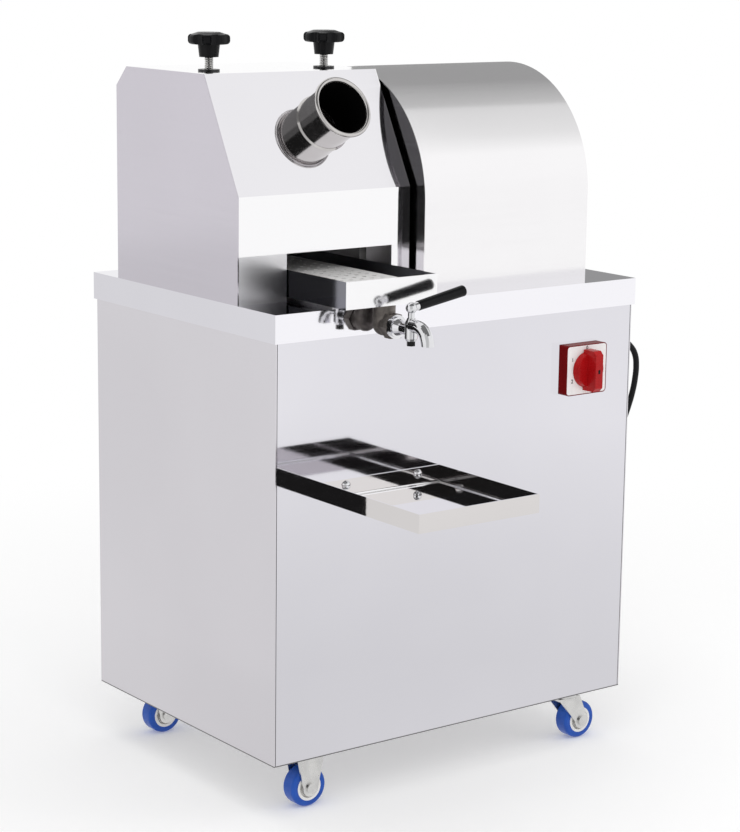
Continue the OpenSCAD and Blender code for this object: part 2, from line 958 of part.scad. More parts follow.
// Head bars that carry the screws, and the rods that tie the plates
module tie_bars() {
    ties = [
        [screw_back - mill_half + tie_in, tie_low_h],
        [screw_back + mill_half - tie_in, mill_h - tie_in],
        [screw_back + mill_half - tie_in, tie_low_h]
    ];
    inside = left_plate + mill_t;
    color(dark_steel) {
        screw_places() difference() {
            translate([-head_w / 2, -head_len / 2, mill_h]) cube([head_w, head_len, head_h]);
            cylinder(d = screw_d + 2 * run_fit, h = hood_h);
        }
        for (t = ties) rod_x(inside, t[0], t[1], tie_d, right_plate - inside);
    }
}

module bearing_blocks() {
    color(cast) for (a = [left_plate, right_plate]) difference() {
        block(a, screw_back - block_w / 2, upper_axis_h - block_drop,
            a + mill_t, screw_back + block_w / 2, block_top);
        rod_x(a - over, screw_back, upper_axis_h, shaft_d + 2 * run_fit, mill_t + 2 * over);
    }
}

// One revolved solid: shaft, grooved barrel, shaft
module roller(d, z, shaft_right) {
    pitch = roller_len / (groove_count + 1);
    start = roller_left - shaft_left;
    outline = concat(
        [[0, 0], [shaft_d / 2, 0], [shaft_d / 2, start], [roller_r, start]],
        [for (i = [1 : groove_count], side = [-1, 0, 1])
            [roller_r - groove_depth * (1 - abs(side)), start + i * pitch + side * groove_depth]],
        [
            [roller_r, start + roller_len],
            [shaft_d / 2, start + roller_len],
            [shaft_d / 2, shaft_right - shaft_left],
            [0, shaft_right - shaft_left]
        ]
    );
    translate(at(shaft_left, d, z)) rotate([0, 90, 0]) rotate_extrude() polygon(outline);
}

module upper_roller() {
    color(dark_steel) roller(screw_back, upper_axis_h, upper_shaft_right);
}

module front_roller() {
    color(dark_steel) roller(screw_back - lower_spread, lower_axis_h, lower_shaft_right);
}

module rear_roller() {
    color(dark_steel) roller(screw_back + lower_spread, lower_axis_h, lower_shaft_right);
}

// Involute flank: half the tooth's angle at radius r
function involute(angle) = tan(angle) * 180 / PI - angle;
function half_tooth(r) = 90 / gear_teeth - backlash_angle + involute(pressure_angle)
    - involute(acos(base_r / r));
function polar(r, angle) = [r * cos(angle), r * sin(angle)];

module gear_outline(phase) {
    radii = [for (i = [0 : flank_steps]) base_r + (tip_r - base_r) * i / flank_steps];
    polygon([
        for (tooth = [0 : gear_teeth - 1])
            let (mid = phase + tooth * 360 / gear_teeth)
            each concat(
                [polar(root_r, mid - half_tooth(base_r))],
                [for (r = radii) polar(r, mid - half_tooth(r))],
                [for (i = [flank_steps : -1 : 0]) polar(radii[i], mid + half_tooth(radii[i]))],
                [polar(root_r, mid + half_tooth(base_r))]
            )
    ]);
}

module gear(d, z, phase) {
    side_profile(gear_left, gear_w) translate([d, z]) difference() {
        gear_outline(phase);
        circle(d = shaft_d);
    }
}

// Turn of a gear that meshes with the upper one along a line at the given angle
function mesh_phase(angle) = 2 * angle + 180 + 180 / gear_teeth;

module upper_gear() {
    color(zinc) gear(screw_back, upper_axis_h, 0);
}

module front_gear() {
    color(zinc) gear(screw_back - lower_spread, lower_axis_h, mesh_phase(180 + mesh_angle));
}

module rear_gear() {
    color(zinc) gear(screw_back + lower_spread, lower_axis_h, mesh_phase(-mesh_angle));
}

// Pressure screws
module screw_place(side) {
    translate(at(hood_mid + side * screw_span / 2, screw_back, 0)) children();
}

// Star knob: a domed disc with scallops, on a tapered hub
module star_knob() {
    difference() {
        union() {
            difference() {
                translate([0, 0, lobe_z]) rotate_extrude() {
                    translate([0, lobe_round]) square([knob_d / 2, knob_h - 2 * lobe_round]);
                    square([knob_d / 2 - lobe_round, knob_h]);
                    for (z = [lobe_round, knob_h - lobe_round])
                        translate([knob_d / 2 - lobe_round, z]) circle(lobe_round);
                    translate([0, knob_h]) polygon([
                        [0, 0], [knob_d / 2 - lobe_round, 0], [hub_d / 2, crown_h], [0, crown_h]
                    ]);
                }
                for (i = [0 : knob_lobes - 1]) rotate([0, 0, i * 360 / knob_lobes])
                    translate([scallop_place_share * knob_d / 2, 0, lobe_z - over])
                        cylinder(r = scallop_share * knob_d / 2, h = knob_h + crown_h + 2 * over);
            }
            translate([0, 0, hub_z]) cylinder(d1 = hub_d - hub_h / 4, d2 = hub_d, h = hub_h + over);
        }
        translate([0, 0, hub_z - over]) cylinder(d = screw_d, h = screw_top - hub_z + over);
    }
}

module pressure_screw() {
    tip_z = pad_z + pad_floor + rest_gap;
    shoulder_z = pad_z + pad_h + rest_gap;
    translate([0, 0, tip_z]) cylinder(d = tip_d, h = shoulder_z - tip_z);
    translate([0, 0, shoulder_z]) cylinder(d = screw_d, h = screw_top - shoulder_z);
}

module thrust_pad() {
    translate([0, 0, pad_z]) difference() {
        cylinder(d = pad_d, h = pad_h);
        translate([0, 0, pad_floor]) cylinder(d = tip_d + 2 * run_fit, h = pad_h);
    }
}

module left_knob() {
    color(black) screw_place(-1) star_knob();
}

module right_knob() {
    color(black) screw_place(1) star_knob();
}

module left_screw() {
    color(zinc) screw_place(-1) pressure_screw();
}

module right_screw() {
    color(zinc) screw_place(1) pressure_screw();
}

module left_pad() {
    color(cast) screw_place(-1) thrust_pad();
}

module right_pad() {
    color(cast) screw_place(1) thrust_pad();
}

module washers() {
    color(chrome) screw_places() translate([0, 0, hood_h]) difference() {
        cylinder(d = washer_d, h = washer_h);
        translate([0, 0, -over]) cylinder(d = screw_d + loose_fit, h = washer_h + 2 * over);
    }
}

// Juice tray
module juice_tray() {
    color(steel) difference() {
        union() {
            block(tray_from_left, -tray_out, tray_lift, tray_right, tray_in, tray_rim);
            block(tray_right - over, -tray_out, tray_rim - 2 * sheet_t,
                tray_right + tray_ear / 4, tray_ear - tray_out, tray_rim);
        }
        block(tray_from_left + sheet_t, sheet_t - tray_out, tray_lift + sheet_t,
            tray_right - sheet_t, tray_in - sheet_t, tray_rim + over);
        rod_z(tap_from_left, -pipe_out, tray_lift - over, outlet_hole_d, sheet_t + 2 * over);
    }
}

// Perforated plate that stands in the tray on two folded legs
module strainer() {
    left = tray_from_left + sheet_t + rest_gap;
    right = tray_from_left + strainer_share * tray_w;
    front = sheet_t + rest_gap - tray_out;
    back = tray_in - sheet_t - rest_gap;
    foot = tray_lift + sheet_t;
    top = tray_rim - strainer_below;
    columns = floor((right - left - 2 * strainer_edge) / strainer_pitch);
    rows = floor((back - front - 2 * strainer_edge) / strainer_pitch);
    first_a = (left + right - columns * strainer_pitch) / 2;
    first_d = (front + back - rows * strainer_pitch) / 2;
    color(zinc) difference() {
        block(left, front, foot, right, back, top);
        block(left + sheet_t, front - over, foot - over, right - sheet_t, back + over, top - sheet_t);
        for (i = [0 : columns], j = [0 : rows])
            rod_z(first_a + i * strainer_pitch, first_d + j * strainer_pitch, top - sheet_t - over,
                strainer_hole_d, sheet_t + 2 * over);
    }
}

module tray_runners() {
    color(zinc) for (a = [tray_from_left + runner_in, tray_right - runner_in - runner_w])
        block(a, side_in, 0, a + runner_w, tray_in - runner_in, tray_lift - rest_gap);
}

// Cast pipe from under the tray down and forward to the tap's flange
module outlet_elbow() {
    color(cast) {
        rod_z(tap_from_left, -pipe_out, -tap_drop, pipe_d, tap_drop + tray_lift);
        translate(at(tap_from_left, -pipe_out, -tap_drop)) sphere(d = pipe_d);
        rod_y(tap_from_left, -tap_flange_out, -tap_drop, pipe_d - sheet_t, tap_flange_out - pipe_out);
        translate(at(tap_from_left, -tap_flange_out, -tap_drop)) rotate([-90, 0, 0])
            cylinder(d = pipe_hex_w, h = pipe_hex_len, $fn = 6);
    }
}

// Stepped flange and barrel, an upright housing, and a spout that bends down
module tap_body() {
    spout_z = spout_rise - tap_drop;
    bend_start = spout_out - spout_bend_r;
    ring_end = tap_flange_t + tap_ring_t;
    color(chrome) difference() {
        union() {
            translate(at(tap_from_left, -tap_flange_out, -tap_drop)) rotate([90, 0, 0])
                rotate_extrude() polygon([
                    [0, 0],
                    [tap_flange_d / 2, 0],
                    [tap_flange_d / 2, tap_flange_t],
                    [tap_ring_d / 2, tap_flange_t],
                    [tap_ring_d / 2, ring_end],
                    [tap_cone_d / 2, ring_end],
                    [tap_barrel_d / 2, ring_end + tap_cone_len],
                    [tap_barrel_d / 2, plug_out - tap_flange_out],
                    [0, plug_out - tap_flange_out]
                ]);
            translate(at(tap_from_left, -plug_out, 0)) rotate_extrude() polygon([
                [0, housing_bottom],
                [housing_foot_d / 2, housing_bottom],
                [housing_d / 2, housing_bottom + housing_foot_h],
                [housing_d / 2, housing_top - shoulder_h],
                [shoulder_d / 2, housing_top],
                [0, housing_top]
            ]);
            rod_y(tap_from_left, -bend_start, spout_z, spout_d, bend_start - plug_out);
            translate(at(tap_from_left, -bend_start, spout_z - spout_bend_r)) rotate([90, 0, -90])
                rotate_extrude(angle = 90) translate([spout_bend_r, 0]) circle(d = spout_d);
        }
        rod_z(tap_from_left, -plug_out, housing_bottom - over, plug_d + 2 * run_fit,
            housing_top - housing_bottom + 2 * over);
        rod_z(tap_from_left, -spout_out, spout_z - spout_bend_r - over, spout_bore_d, spout_bore_h + over);
    }
}

module lever_axis() {
    translate(at(tap_from_left, -plug_out, bulb_z)) rotate([0, 90 - lever_rise, 0]) children();
}

// Plug with its round head, the stub that carries the grip, and the nut below
module tap_lever() {
    nut_z = housing_bottom - rest_gap - plug_nut_h;
    color(chrome) {
        rod_z(tap_from_left, -plug_out, nut_z, plug_d, bulb_z - nut_z);
        translate(at(tap_from_left, -plug_out, bulb_z)) sphere(d = bulb_d);
        translate(at(tap_from_left, -plug_out, nut_z))
            cylinder(d = plug_nut_w, h = plug_nut_h, $fn = 6);
        lever_axis() cylinder(d = lever_stub_d, h = grip_start);
    }
}

module lever_grip() {
    color(black) lever_axis() translate([0, 0, grip_start]) rotate_extrude() {
        polygon([
            [0, 0],
            [grip_neck_d / 2, 0],
            [grip_d / 2, grip_len - grip_round],
            [grip_d / 2 - grip_round, grip_len],
            [0, grip_len]
        ]);
        translate([grip_d / 2 - grip_round, grip_len - grip_round]) circle(grip_round);
    }
}

// Cup shelf
module cup_shelf() {
    front = panel_inset - shelf_reach;
    right = shelf_from_left + shelf_w;
    bottom = -shelf_drop - shelf_h;
    color(steel) difference() {
        block(shelf_from_left, front, bottom, right, panel_inset, -shelf_drop);
        block(shelf_from_left + sheet_t, front + sheet_t, bottom + sheet_t,
            right - sheet_t, panel_inset - sheet_t, -shelf_drop + over);
        for (side = [-1, 1])
            rod_y(shelf_bolt_mid + side * shelf_bolt_span / 2, panel_inset - 2 * sheet_t,
                -shelf_bolt_drop, bolt_d + loose_fit, 3 * sheet_t);
    }
}

// Dome-head bolts through the shelf and the front panel, with nuts behind
module shelf_bolts() {
    head_at = panel_inset - sheet_t;
    reach = 2 * sheet_t + 2 * bolt_nut_h;
    dome_r = (bolt_head_d * bolt_head_d / 4 + bolt_head_h * bolt_head_h) / (2 * bolt_head_h);
    color(chrome) for (side = [-1, 1])
        translate(at(shelf_bolt_mid + side * shelf_bolt_span / 2, head_at, -shelf_bolt_drop))
            rotate([-90, 0, 0]) {
                cylinder(d = bolt_d, h = reach);
                translate([0, 0, 2 * sheet_t]) cylinder(d = bolt_nut_w, h = bolt_nut_h, $fn = 6);
                intersection() {
                    translate([0, 0, dome_r - bolt_head_h]) sphere(dome_r);
                    translate([0, 0, -bolt_head_h]) cylinder(d = 2 * bolt_head_d, h = bolt_head_h);
                }
            }
}

// Switch: places are measured from the front panel's face outwards
module switch_place() {
    translate(at(switch_mid, panel_inset, -switch_drop)) rotate([90, 0, 0]) children();
}

module switch_box() {
    color(red) switch_place() difference() {
        union() {
            linear_extrude(switch_out) round_rect(switch_w, switch_h, switch_round);
            translate([0, 0, -switch_back_len]) cylinder(d = switch_back_d, h = switch_back_len + over);
        }
        translate([0, 0, switch_out - face_t]) linear_extrude(face_t + over)
            round_rect(switch_w - 2 * switch_rim, switch_h - 2 * switch_rim, switch_round - switch_rim);
        translate([0, 0, switch_out - spindle_len])
            cylinder(d = spindle_d + 2 * run_fit, h = spindle_len);
    }
}

module switch_face() {
    color(white) switch_place() translate([0, 0, switch_out - face_t]) linear_extrude(face_t) difference() {
        round_rect(switch_w - 2 * switch_rim, switch_h - 2 * switch_rim, switch_round - switch_rim);
        circle(d = spindle_d + 2 * loose_fit);
    }
}

// Round base with an upright bar, its outer ends cut off
module switch_knob() {
    bar_h = dial_bar_h - dial_gap;
    half = dial_bar_len / 2;
    color(red) switch_place() translate([0, 0, switch_out + dial_gap]) {
        cylinder(d1 = dial_d, d2 = dial_d - dial_h / 2, h = dial_h);
        rotate([90, 0, 90]) linear_extrude(dial_bar_w, center = true) polygon([
            [-half, 0],
            [-half, bar_h - dial_chamfer],
            [dial_chamfer - half, bar_h],
            [half - dial_chamfer, bar_h],
            [half, bar_h - dial_chamfer],
            [half, 0]
        ]);
        translate([0, 0, rest_gap - spindle_len]) cylinder(d = spindle_d, h = spindle_len);
    }
}

// Cord
module cable_gland() {
    color(black) translate(at(pan_w - panel_inset, gland_from_front, -gland_drop)) rotate([0, 90, 0]) {
        cylinder(d = gland_nut_w, h = gland_nut_len, $fn = 6);
        cylinder(d1 = gland_dome_d, d2 = gland_tip_d, h = gland_len);
    }
}

// Point on a smooth curve through four points, from the second to the third
function curve(p, t) = (
    2 * p[1] + (p[2] - p[0]) * t + (2 * p[0] - 5 * p[1] + 4 * p[2] - p[3]) * t * t
    + (3 * p[1] - p[0] - 3 * p[2] + p[3]) * t * t * t
) / 2;

// A route rounded through its points, with a ring about every step
function smooth(route, step) = let (last = len(route) - 1) concat(
    [for (i = [0 : last - 1])
        let (
            span = [route[max(i - 1, 0)], route[i], route[i + 1], route[min(i + 2, last)]],
            parts = max(1, round(norm(route[i + 1] - route[i]) / step))
        )
        for (k = [0 : parts - 1]) curve(span, k / parts)],
    [route[last]]
);

function tangent(path, i) = unit(path[min(i + 1, len(path) - 1)] - path[max(i - 1, 0)]);

// Sideways directions carried along the path without twist
function sideways(path, start) = [
    for (
        i = 0, side = start;
        i < len(path);
        i = i + 1,
        side = i < len(path)
            ? unit(side - (side * tangent(path, i)) * tangent(path, i)) : side
    )
    side
];

// Closed tube of triangles along a path
module tube(path, diameter, sides, start) {
    n = len(path);
    side = sideways(path, start);
    rings = [
        for (i = [0 : n - 1], k = [0 : sides - 1])
            let (up = cross(tangent(path, i), side[i]), turn = k * 360 / sides)
            path[i] + diameter / 2 * (cos(turn) * side[i] + sin(turn) * up)
    ];
    walls = [
        for (i = [0 : n - 2], k = [0 : sides - 1])
            let (a = i * sides + k, b = i * sides + (k + 1) % sides)
            each [[a, b + sides, b], [a, a + sides, b + sides]]
    ];
    caps = [
        for (k = [1 : sides - 2])
            let (far = (n - 1) * sides)
            each [[0, k, k + 1], [far, far + k + 1, far + k]]
    ];
    polyhedron(rings, concat(walls, caps));
}

// Coil: a flat spiral inwards, a climb of one layer, and the spiral out again on top
coil_step = cord_d + coil_gap;
coil_layer_turn = 450;
coil_climb_turn = 180;
coil_turn = 2 * coil_layer_turn + coil_climb_turn;
coil_rings = 72;
coil_mid = [route_end[0] - cord_d, route_end[1] + coil_r];

function coil_depth(turn) = min(turn, coil_turn - turn) * coil_step / 360;
function coil_height(turn) = coil_step
    * min(1, max(0, (turn - coil_layer_turn) / coil_climb_turn));
function coil_point(turn) = let (r = coil_r - coil_depth(turn), angle = -90 - turn) [
    coil_mid[0] + r * cos(angle),
    coil_mid[1] + r * sin(angle),
    route_end[2] + coil_height(turn)
];
coil_exit = [coil_mid[0] - cord_d, coil_mid[1] - coil_r, route_end[2] + coil_step];
coil_path = concat(
    [route_end],
    [for (i = [0 : coil_rings]) coil_point(coil_turn * i / coil_rings)],
    [coil_exit]
);

// Least clear gap between rings of the coil that are over a third of a turn apart
coil_apart = coil_rings / 9;
coil_least_gap = min([
    for (i = [0 : len(coil_path) - 1], j = [0 : len(coil_path) - 1])
        if (j > i + coil_apart) norm(coil_path[i] - coil_path[j])
]) - cord_d;
echo(coil_least_gap = coil_least_gap);

module cord() {
    color(black) tube(smooth(cord_route, ring_step), cord_d, cord_sides, [0, 0, 1]);
}

module cord_coil() {
    color(black) tube(coil_path, cord_d, coil_sides, [0, 0, 1]);
}

// Moulded plug on the coil's end, with flat pins
module plug() {
    color(black) translate(coil_exit) rotate([0, -90, 0]) {
        cylinder(d1 = cord_d + sheet_t, d2 = plug_cone_d, h = plug_cone_len);
        translate([0, 0, plug_cone_len]) linear_extrude(plug_len) round_rect(plug_h, plug_w, plug_round);
        for (side = [-1, 1])
            translate([-pin_t / 2, side * pin_spread - pin_w / 2, plug_cone_len + plug_len - over])
                cube([pin_t, pin_w, pin_len + over]);
    }
}

top_pan();
front_panel();
left_side_panel();
right_side_panel();
rear_panel();
base_plate();
rigid_forks();
swivel_plates();
swivel_fork_front();
swivel_fork_rear();
tyre_front_left();
tyre_rear_left();
tyre_front_right();
tyre_rear_right();
hub_front_left();
hub_rear_left();
hub_front_right();
hub_rear_right();
hood_face();
hood_top();
hood_left_side();
hood_right_side();
feed_tube();
bagasse_chute();
motor_cover();
cover_left_end();
cover_right_end();
gearmotor();
frame_plates();
tie_bars();
bearing_blocks();
upper_roller();
front_roller();
rear_roller();
upper_gear();
front_gear();
rear_gear();
left_knob();
right_knob();
left_screw();
right_screw();
left_pad();
right_pad();
washers();
juice_tray();
strainer();
tray_runners();
outlet_elbow();
tap_body();
tap_lever();
lever_grip();
cup_shelf();
shelf_bolts();
switch_box();
switch_face();
switch_knob();
cable_gland();
cord();
cord_coil();
plug();
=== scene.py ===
# %% [markdown]
# # A sugarcane juicer on casters
# The machine is a polished sheet-metal cabinet. A roller mill stands under the slanted hood on the left,
# and the arched cover on the right hides its gearmotor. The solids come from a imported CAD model,
# so this lesson is about looks: the camera, the cord, the finishes, the small parts and the light.

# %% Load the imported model
import json
import math

import bmesh
import bpy
from mathutils import Matrix, Vector


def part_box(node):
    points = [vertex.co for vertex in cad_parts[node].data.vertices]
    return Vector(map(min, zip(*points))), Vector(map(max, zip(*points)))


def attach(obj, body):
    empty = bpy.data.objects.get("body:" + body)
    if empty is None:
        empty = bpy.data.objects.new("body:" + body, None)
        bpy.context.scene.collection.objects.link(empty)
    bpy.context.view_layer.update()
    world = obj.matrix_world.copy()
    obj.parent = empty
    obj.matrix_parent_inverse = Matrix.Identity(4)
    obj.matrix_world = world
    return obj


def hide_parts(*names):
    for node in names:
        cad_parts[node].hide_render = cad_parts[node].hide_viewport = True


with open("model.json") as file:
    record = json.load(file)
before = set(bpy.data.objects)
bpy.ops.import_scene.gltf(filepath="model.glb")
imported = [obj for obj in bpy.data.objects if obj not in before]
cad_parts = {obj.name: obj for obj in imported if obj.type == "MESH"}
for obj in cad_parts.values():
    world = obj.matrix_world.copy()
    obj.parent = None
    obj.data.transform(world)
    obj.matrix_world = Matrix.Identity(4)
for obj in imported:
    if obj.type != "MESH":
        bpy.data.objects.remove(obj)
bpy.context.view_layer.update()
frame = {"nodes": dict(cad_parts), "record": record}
nodes = frame["nodes"]
scene = bpy.context.scene
scene.view_settings.view_transform = "Standard"
mm = 0.001


def brief(corner):
    return [round(x, 3) for x in corner]


# %% [markdown]
# ## The camera
# The picture shows the left side and the front, from about chest height and well back, with a long lens.
# You could aim a camera by eye, but a camera solved from the cabinet's corners puts every edge where the
# picture has it. Heading, pitch and roll are three plain turns, so the solved camera stays readable.

# %% Camera
picture_w, picture_h = 740, 832
focal_pixels = 2345.71
camera_place = (-1.78135, -2.30388, 1.04821)
heading, pitch, roll = math.radians(36.911), math.radians(11.661), math.radians(0.729)

lens = bpy.data.cameras.new("photo_camera")
lens.sensor_width = 36
lens.lens = lens.sensor_width * focal_pixels / max(picture_w, picture_h)
camera = bpy.data.objects.new("photo_camera", lens)
camera.matrix_world = (
    Matrix.Translation(camera_place)
    @ Matrix.Rotation(-heading, 4, "Z")
    @ Matrix.Rotation(math.pi / 2 - pitch, 4, "X")
    @ Matrix.Rotation(roll, 4, "Z")
)
scene.collection.objects.link(camera)
scene.camera = camera
print("lens", round(lens.lens, 2), "mm")

# %% [markdown]
# ## The mains cord
# Only a short bulge of the cord shows, at the right edge of the cabinet. The rest is put away: it falls
# behind the machine and ends in a flat coil with its plug. One open curve carries the whole length, because
# a curve's own line is what gets measured, and its round bevel gives the jacket. The points are those of
# the CAD route, in millimetres: first from the gland's tip, then in the frame, then from the rear corner.

# %% Cord route
cord_d = 8 * mm
gland_tip = Vector((301, -59, 524)) * mm
rear_corner = Vector((280, 287, 0)) * mm
hang = [(-2, 0, 0), (10, 0, 0), (24, 0, -2.8), (35.6, 0, -10.6), (43.6, 0.1, -22.6),
        (46.4, 0.5, -37), (46.4, 1.6, -53), (44.4, 3.6, -72), (40.4, 6.8, -93), (34.6, 12.5, -119)]
fall = [(329, -37, 372), (322, -22, 325), (316, 2, 262), (312, 37, 186), (310, 80, 106), (310, 124, 46),
        (310, 163, 15.5)]
along_floor = [(29.5, -89, 2), (26, -51, 0.2), (12, -15, 0), (-17, 10, 0), (-58, 18.5, 0), (-102, 19, 0),
               (-146, 19, 0.2)]
lie = 4.3 * mm  # the cord's middle line where it lies on the floor
cord_route = [gland_tip + Vector(p) * mm for p in hang] + [Vector(p) * mm for p in fall]
cord_route += [rear_corner + Vector((x * mm, y * mm, lie + up * mm)) for x, y, up in along_floor]
print("route points", len(cord_route))

# %% Coil: a flat spiral inwards, a climb of one layer, and a spiral out again on top
coil_r, coil_step, coil_knots = 52 * mm, 9.2 * mm, 60
layer_turn, climb_turn = 450, 180
coil_turn = 2 * layer_turn + climb_turn
coil_lift = 1 * mm
coil_end = rear_corner + Vector((-190 * mm, 19 * mm, lie + coil_lift))
coil_mid = coil_end + Vector((-cord_d, coil_r, 0))


def coil_point(turn):
    r = coil_r - min(turn, coil_turn - turn) * coil_step / 360
    up = coil_step * min(1, max(0, (turn - layer_turn) / climb_turn))
    angle = math.radians(-90 - turn)
    return coil_mid + Vector((r * math.cos(angle), r * math.sin(angle), up))


coil_points = [coil_point(coil_turn * i / coil_knots) for i in range(coil_knots + 1)]
coil_exit = coil_mid + Vector((-cord_d, -coil_r, coil_step))
cord_line = cord_route + [coil_end] + coil_points + [coil_exit]
print("coil points", len(coil_points), "ends at", brief(coil_exit))


# %% Cord curve
def round_wire(name, points, diameter):
    curve = bpy.data.curves.new(name, "CURVE")
    curve.dimensions = "3D"
    curve.bevel_depth = 1
    curve.bevel_resolution = 5
    curve.resolution_u = 6
    curve.use_fill_caps = True
    spline = curve.splines.new("BEZIER")
    spline.bezier_points.add(len(points) - 1)
    for knot, place in zip(spline.bezier_points, points):
        knot.co = place
        knot.radius = diameter / 2
        knot.handle_left_type = knot.handle_right_type = "AUTO"
    wire = bpy.data.objects.new(name, curve)
    scene.collection.objects.link(wire)
    return wire


mains_cord = round_wire("mains_cord", cord_line, cord_d)
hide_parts("cord", "cord_coil")
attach(mains_cord, "cabinet")
print("cord of", len(cord_line), "points")

# %% [markdown]
# ## The plug and the tie
# A moulded plug is soft in shape: a thin neck with grip rings that swells into a rounded body. A loft does
# that well: one closed ring of points for each station along the plug, joined ring to ring. The same loft,
# with its ends joined, makes the strap that holds the coil together.


# %% Loft helpers
def rounded_ring(w, h, corner, steps=6):
    """A closed outline, w by h, with rounded corners."""
    ring = []
    flat_w, flat_h = w / 2 - corner, h / 2 - corner
    for side, level, start in ((1, 1, 0), (-1, 1, 90), (-1, -1, 180), (1, -1, 270)):
        for i in range(steps + 1):
            a = math.radians(start + 90 * i / steps)
            ring.append((side * flat_w + corner * math.cos(a), level * flat_h + corner * math.sin(a)))
    return ring


def loft(bm, rings, closed=False):
    """Joins ring to ring. A closed loft joins the last ring to the first; an open one gets two end caps."""
    rows = [[bm.verts.new(p) for p in ring] for ring in rings]
    pairs = list(zip(rows, rows[1:])) + ([(rows[-1], rows[0])] if closed else [])
    for a, b in pairs:
        for i in range(len(a)):
            j = (i + 1) % len(a)
            bm.faces.new((a[i], a[j], b[j], b[i]))
    if not closed:
        bm.faces.new(rows[0][::-1])
        bm.faces.new(rows[-1])


def new_piece(name, bm, smooth_angle=40):
    bmesh.ops.recalc_face_normals(bm, faces=bm.faces)
    mesh = bpy.data.meshes.new(name)
    bm.to_mesh(mesh)
    bm.free()
    mesh.shade_smooth()
    mesh.set_sharp_from_angle(angle=math.radians(smooth_angle))
    piece = bpy.data.objects.new(name, mesh)
    scene.collection.objects.link(piece)
    return piece


print("loft helpers ready")

# %% Plug body: stations of (place, height, width, corner) in millimetres
grip_rings, grip_step, grip_grow = 5, 3, 0.7
stations = [(0, 10.5, 10.5, 5)]
for i in range(grip_rings):
    at, ridge, groove = grip_step * i, 11.6 + i * grip_grow, 10.4 + i * grip_grow
    stations += [(2 + at, ridge, ridge, 5.4), (4 + at, ridge, ridge, 5.4),
                 (4.2 + at, groove, groove, 4.9), (4.8 + at, groove, groove, 4.9)]
stations += [(18.5, 19, 23, 7), (22, 23.4, 29.6, 8), (28, 24.8, 31.6, 7), (34, 24, 30, 7), (42, 24, 30, 7),
             (48, 25, 32, 7), (52.6, 25, 32, 7), (53.6, 24.2, 31.2, 6.6), (54, 23, 30, 6)]
bm = bmesh.new()
loft(bm, [[coil_exit + Vector((-at * mm, y * mm, z * mm)) for z, y in rounded_ring(h, w, c)]
          for at, h, w, c in stations])
plug_body = new_piece("plug_body", bm)
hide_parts("plug")
print("plug body of", len(stations), "stations")

# %% Plug pins: stations of (place, width, thickness) in millimetres
pin_stations = ((52, 6.4, 1.6), (70.6, 6.4, 1.6), (71.6, 5.2, 1.0), (72, 4.2, 0.6))
pin_off, pin_corner = 7.5, 0.25
bm = bmesh.new()
for side in (-1, 1):
    loft(bm, [[coil_exit + Vector((-at * mm, (side * pin_off + y) * mm, z * mm))
               for z, y in rounded_ring(t, w, pin_corner, 2)] for at, w, t in pin_stations])
plug_pins = new_piece("plug_pins", bm)
for piece, slot_name in ((plug_body, "jacket"), (plug_pins, "chrome")):
    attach(piece, "cabinet")
print("plug from", round(coil_exit.x, 3), "to", round(coil_exit.x - pin_stations[-1][0] * mm, 3))

# %% Strap round the coil
strap_w, strap_t = 11 * mm, 0.9 * mm
bundle_r = 4.1 * mm  # the cord's radius with a little slack
bundle_in, bundle_out = coil_r - 16.2 * mm, coil_r + 2.6 * mm
bundle_low, bundle_high = lie + coil_lift - bundle_r, lie + coil_lift + coil_step + bundle_r
mid_x, mid_z = coil_mid.x - (bundle_in + bundle_out) / 2, (bundle_low + bundle_high) / 2
bundle_w, bundle_h = bundle_out - bundle_in, bundle_high - bundle_low
inner_corner, outer_corner = 4 * mm, 4.8 * mm
inner = rounded_ring(bundle_w, bundle_h, inner_corner)
outer = rounded_ring(bundle_w + 2 * strap_t, bundle_h + 2 * strap_t, outer_corner)


def strap_ring(outline, y):
    return [(mid_x + x, coil_mid.y + y, mid_z + z) for x, z in outline]


edge = strap_w / 2
bm = bmesh.new()
loft(bm, [strap_ring(inner, -edge), strap_ring(outer, -edge), strap_ring(outer, edge),
          strap_ring(inner, edge)], closed=True)
coil_strap = new_piece("coil_strap", bm)
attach(coil_strap, "cabinet")
print("strap low", round((mid_z - bundle_h / 2 - strap_t) / mm, 2), "mm above the floor")

# %% [markdown]
# ## Threads on the pressure screws
# The solids carry the screws as plain rods, which is right for a simulation. Up close the bare part under
# each knob shows a thread. A thread is a tube whose radius follows a triangle wave, and the wave climbs one
# pitch per turn: take the height in pitches, take off the angle in turns, and the fraction that is left says
# where on the flank a point lies.

# %% Threaded screws
thread_pitch, thread_depth = 2 * mm, 0.95 * mm
tip_len, tip_r, tip_chamfer = 6 * mm, 4 * mm, 0.6 * mm
screw_sides, rows_per_turn = 28, 7


def thread_radius(z, turn, outer):
    flank = (z / thread_pitch - turn) % 1
    return outer - thread_depth * abs(2 * flank - 1)


def screw_rings(low, high, outer):
    """Pairs of a height and the radii round the screw at that height."""
    start, core = low + tip_len, outer - thread_depth
    tip = ((low, tip_r - tip_chamfer), (low + tip_chamfer, tip_r), (start, tip_r), (start, core))
    rows = [(z, [r] * screw_sides) for z, r in tip]
    count = int((high - start) / thread_pitch * rows_per_turn)
    for i in range(1, count):
        z = start + (high - start) * i / count
        rows.append((z, [thread_radius(z, k / screw_sides, outer) for k in range(screw_sides)]))
    return rows + [(high, [core] * screw_sides)]


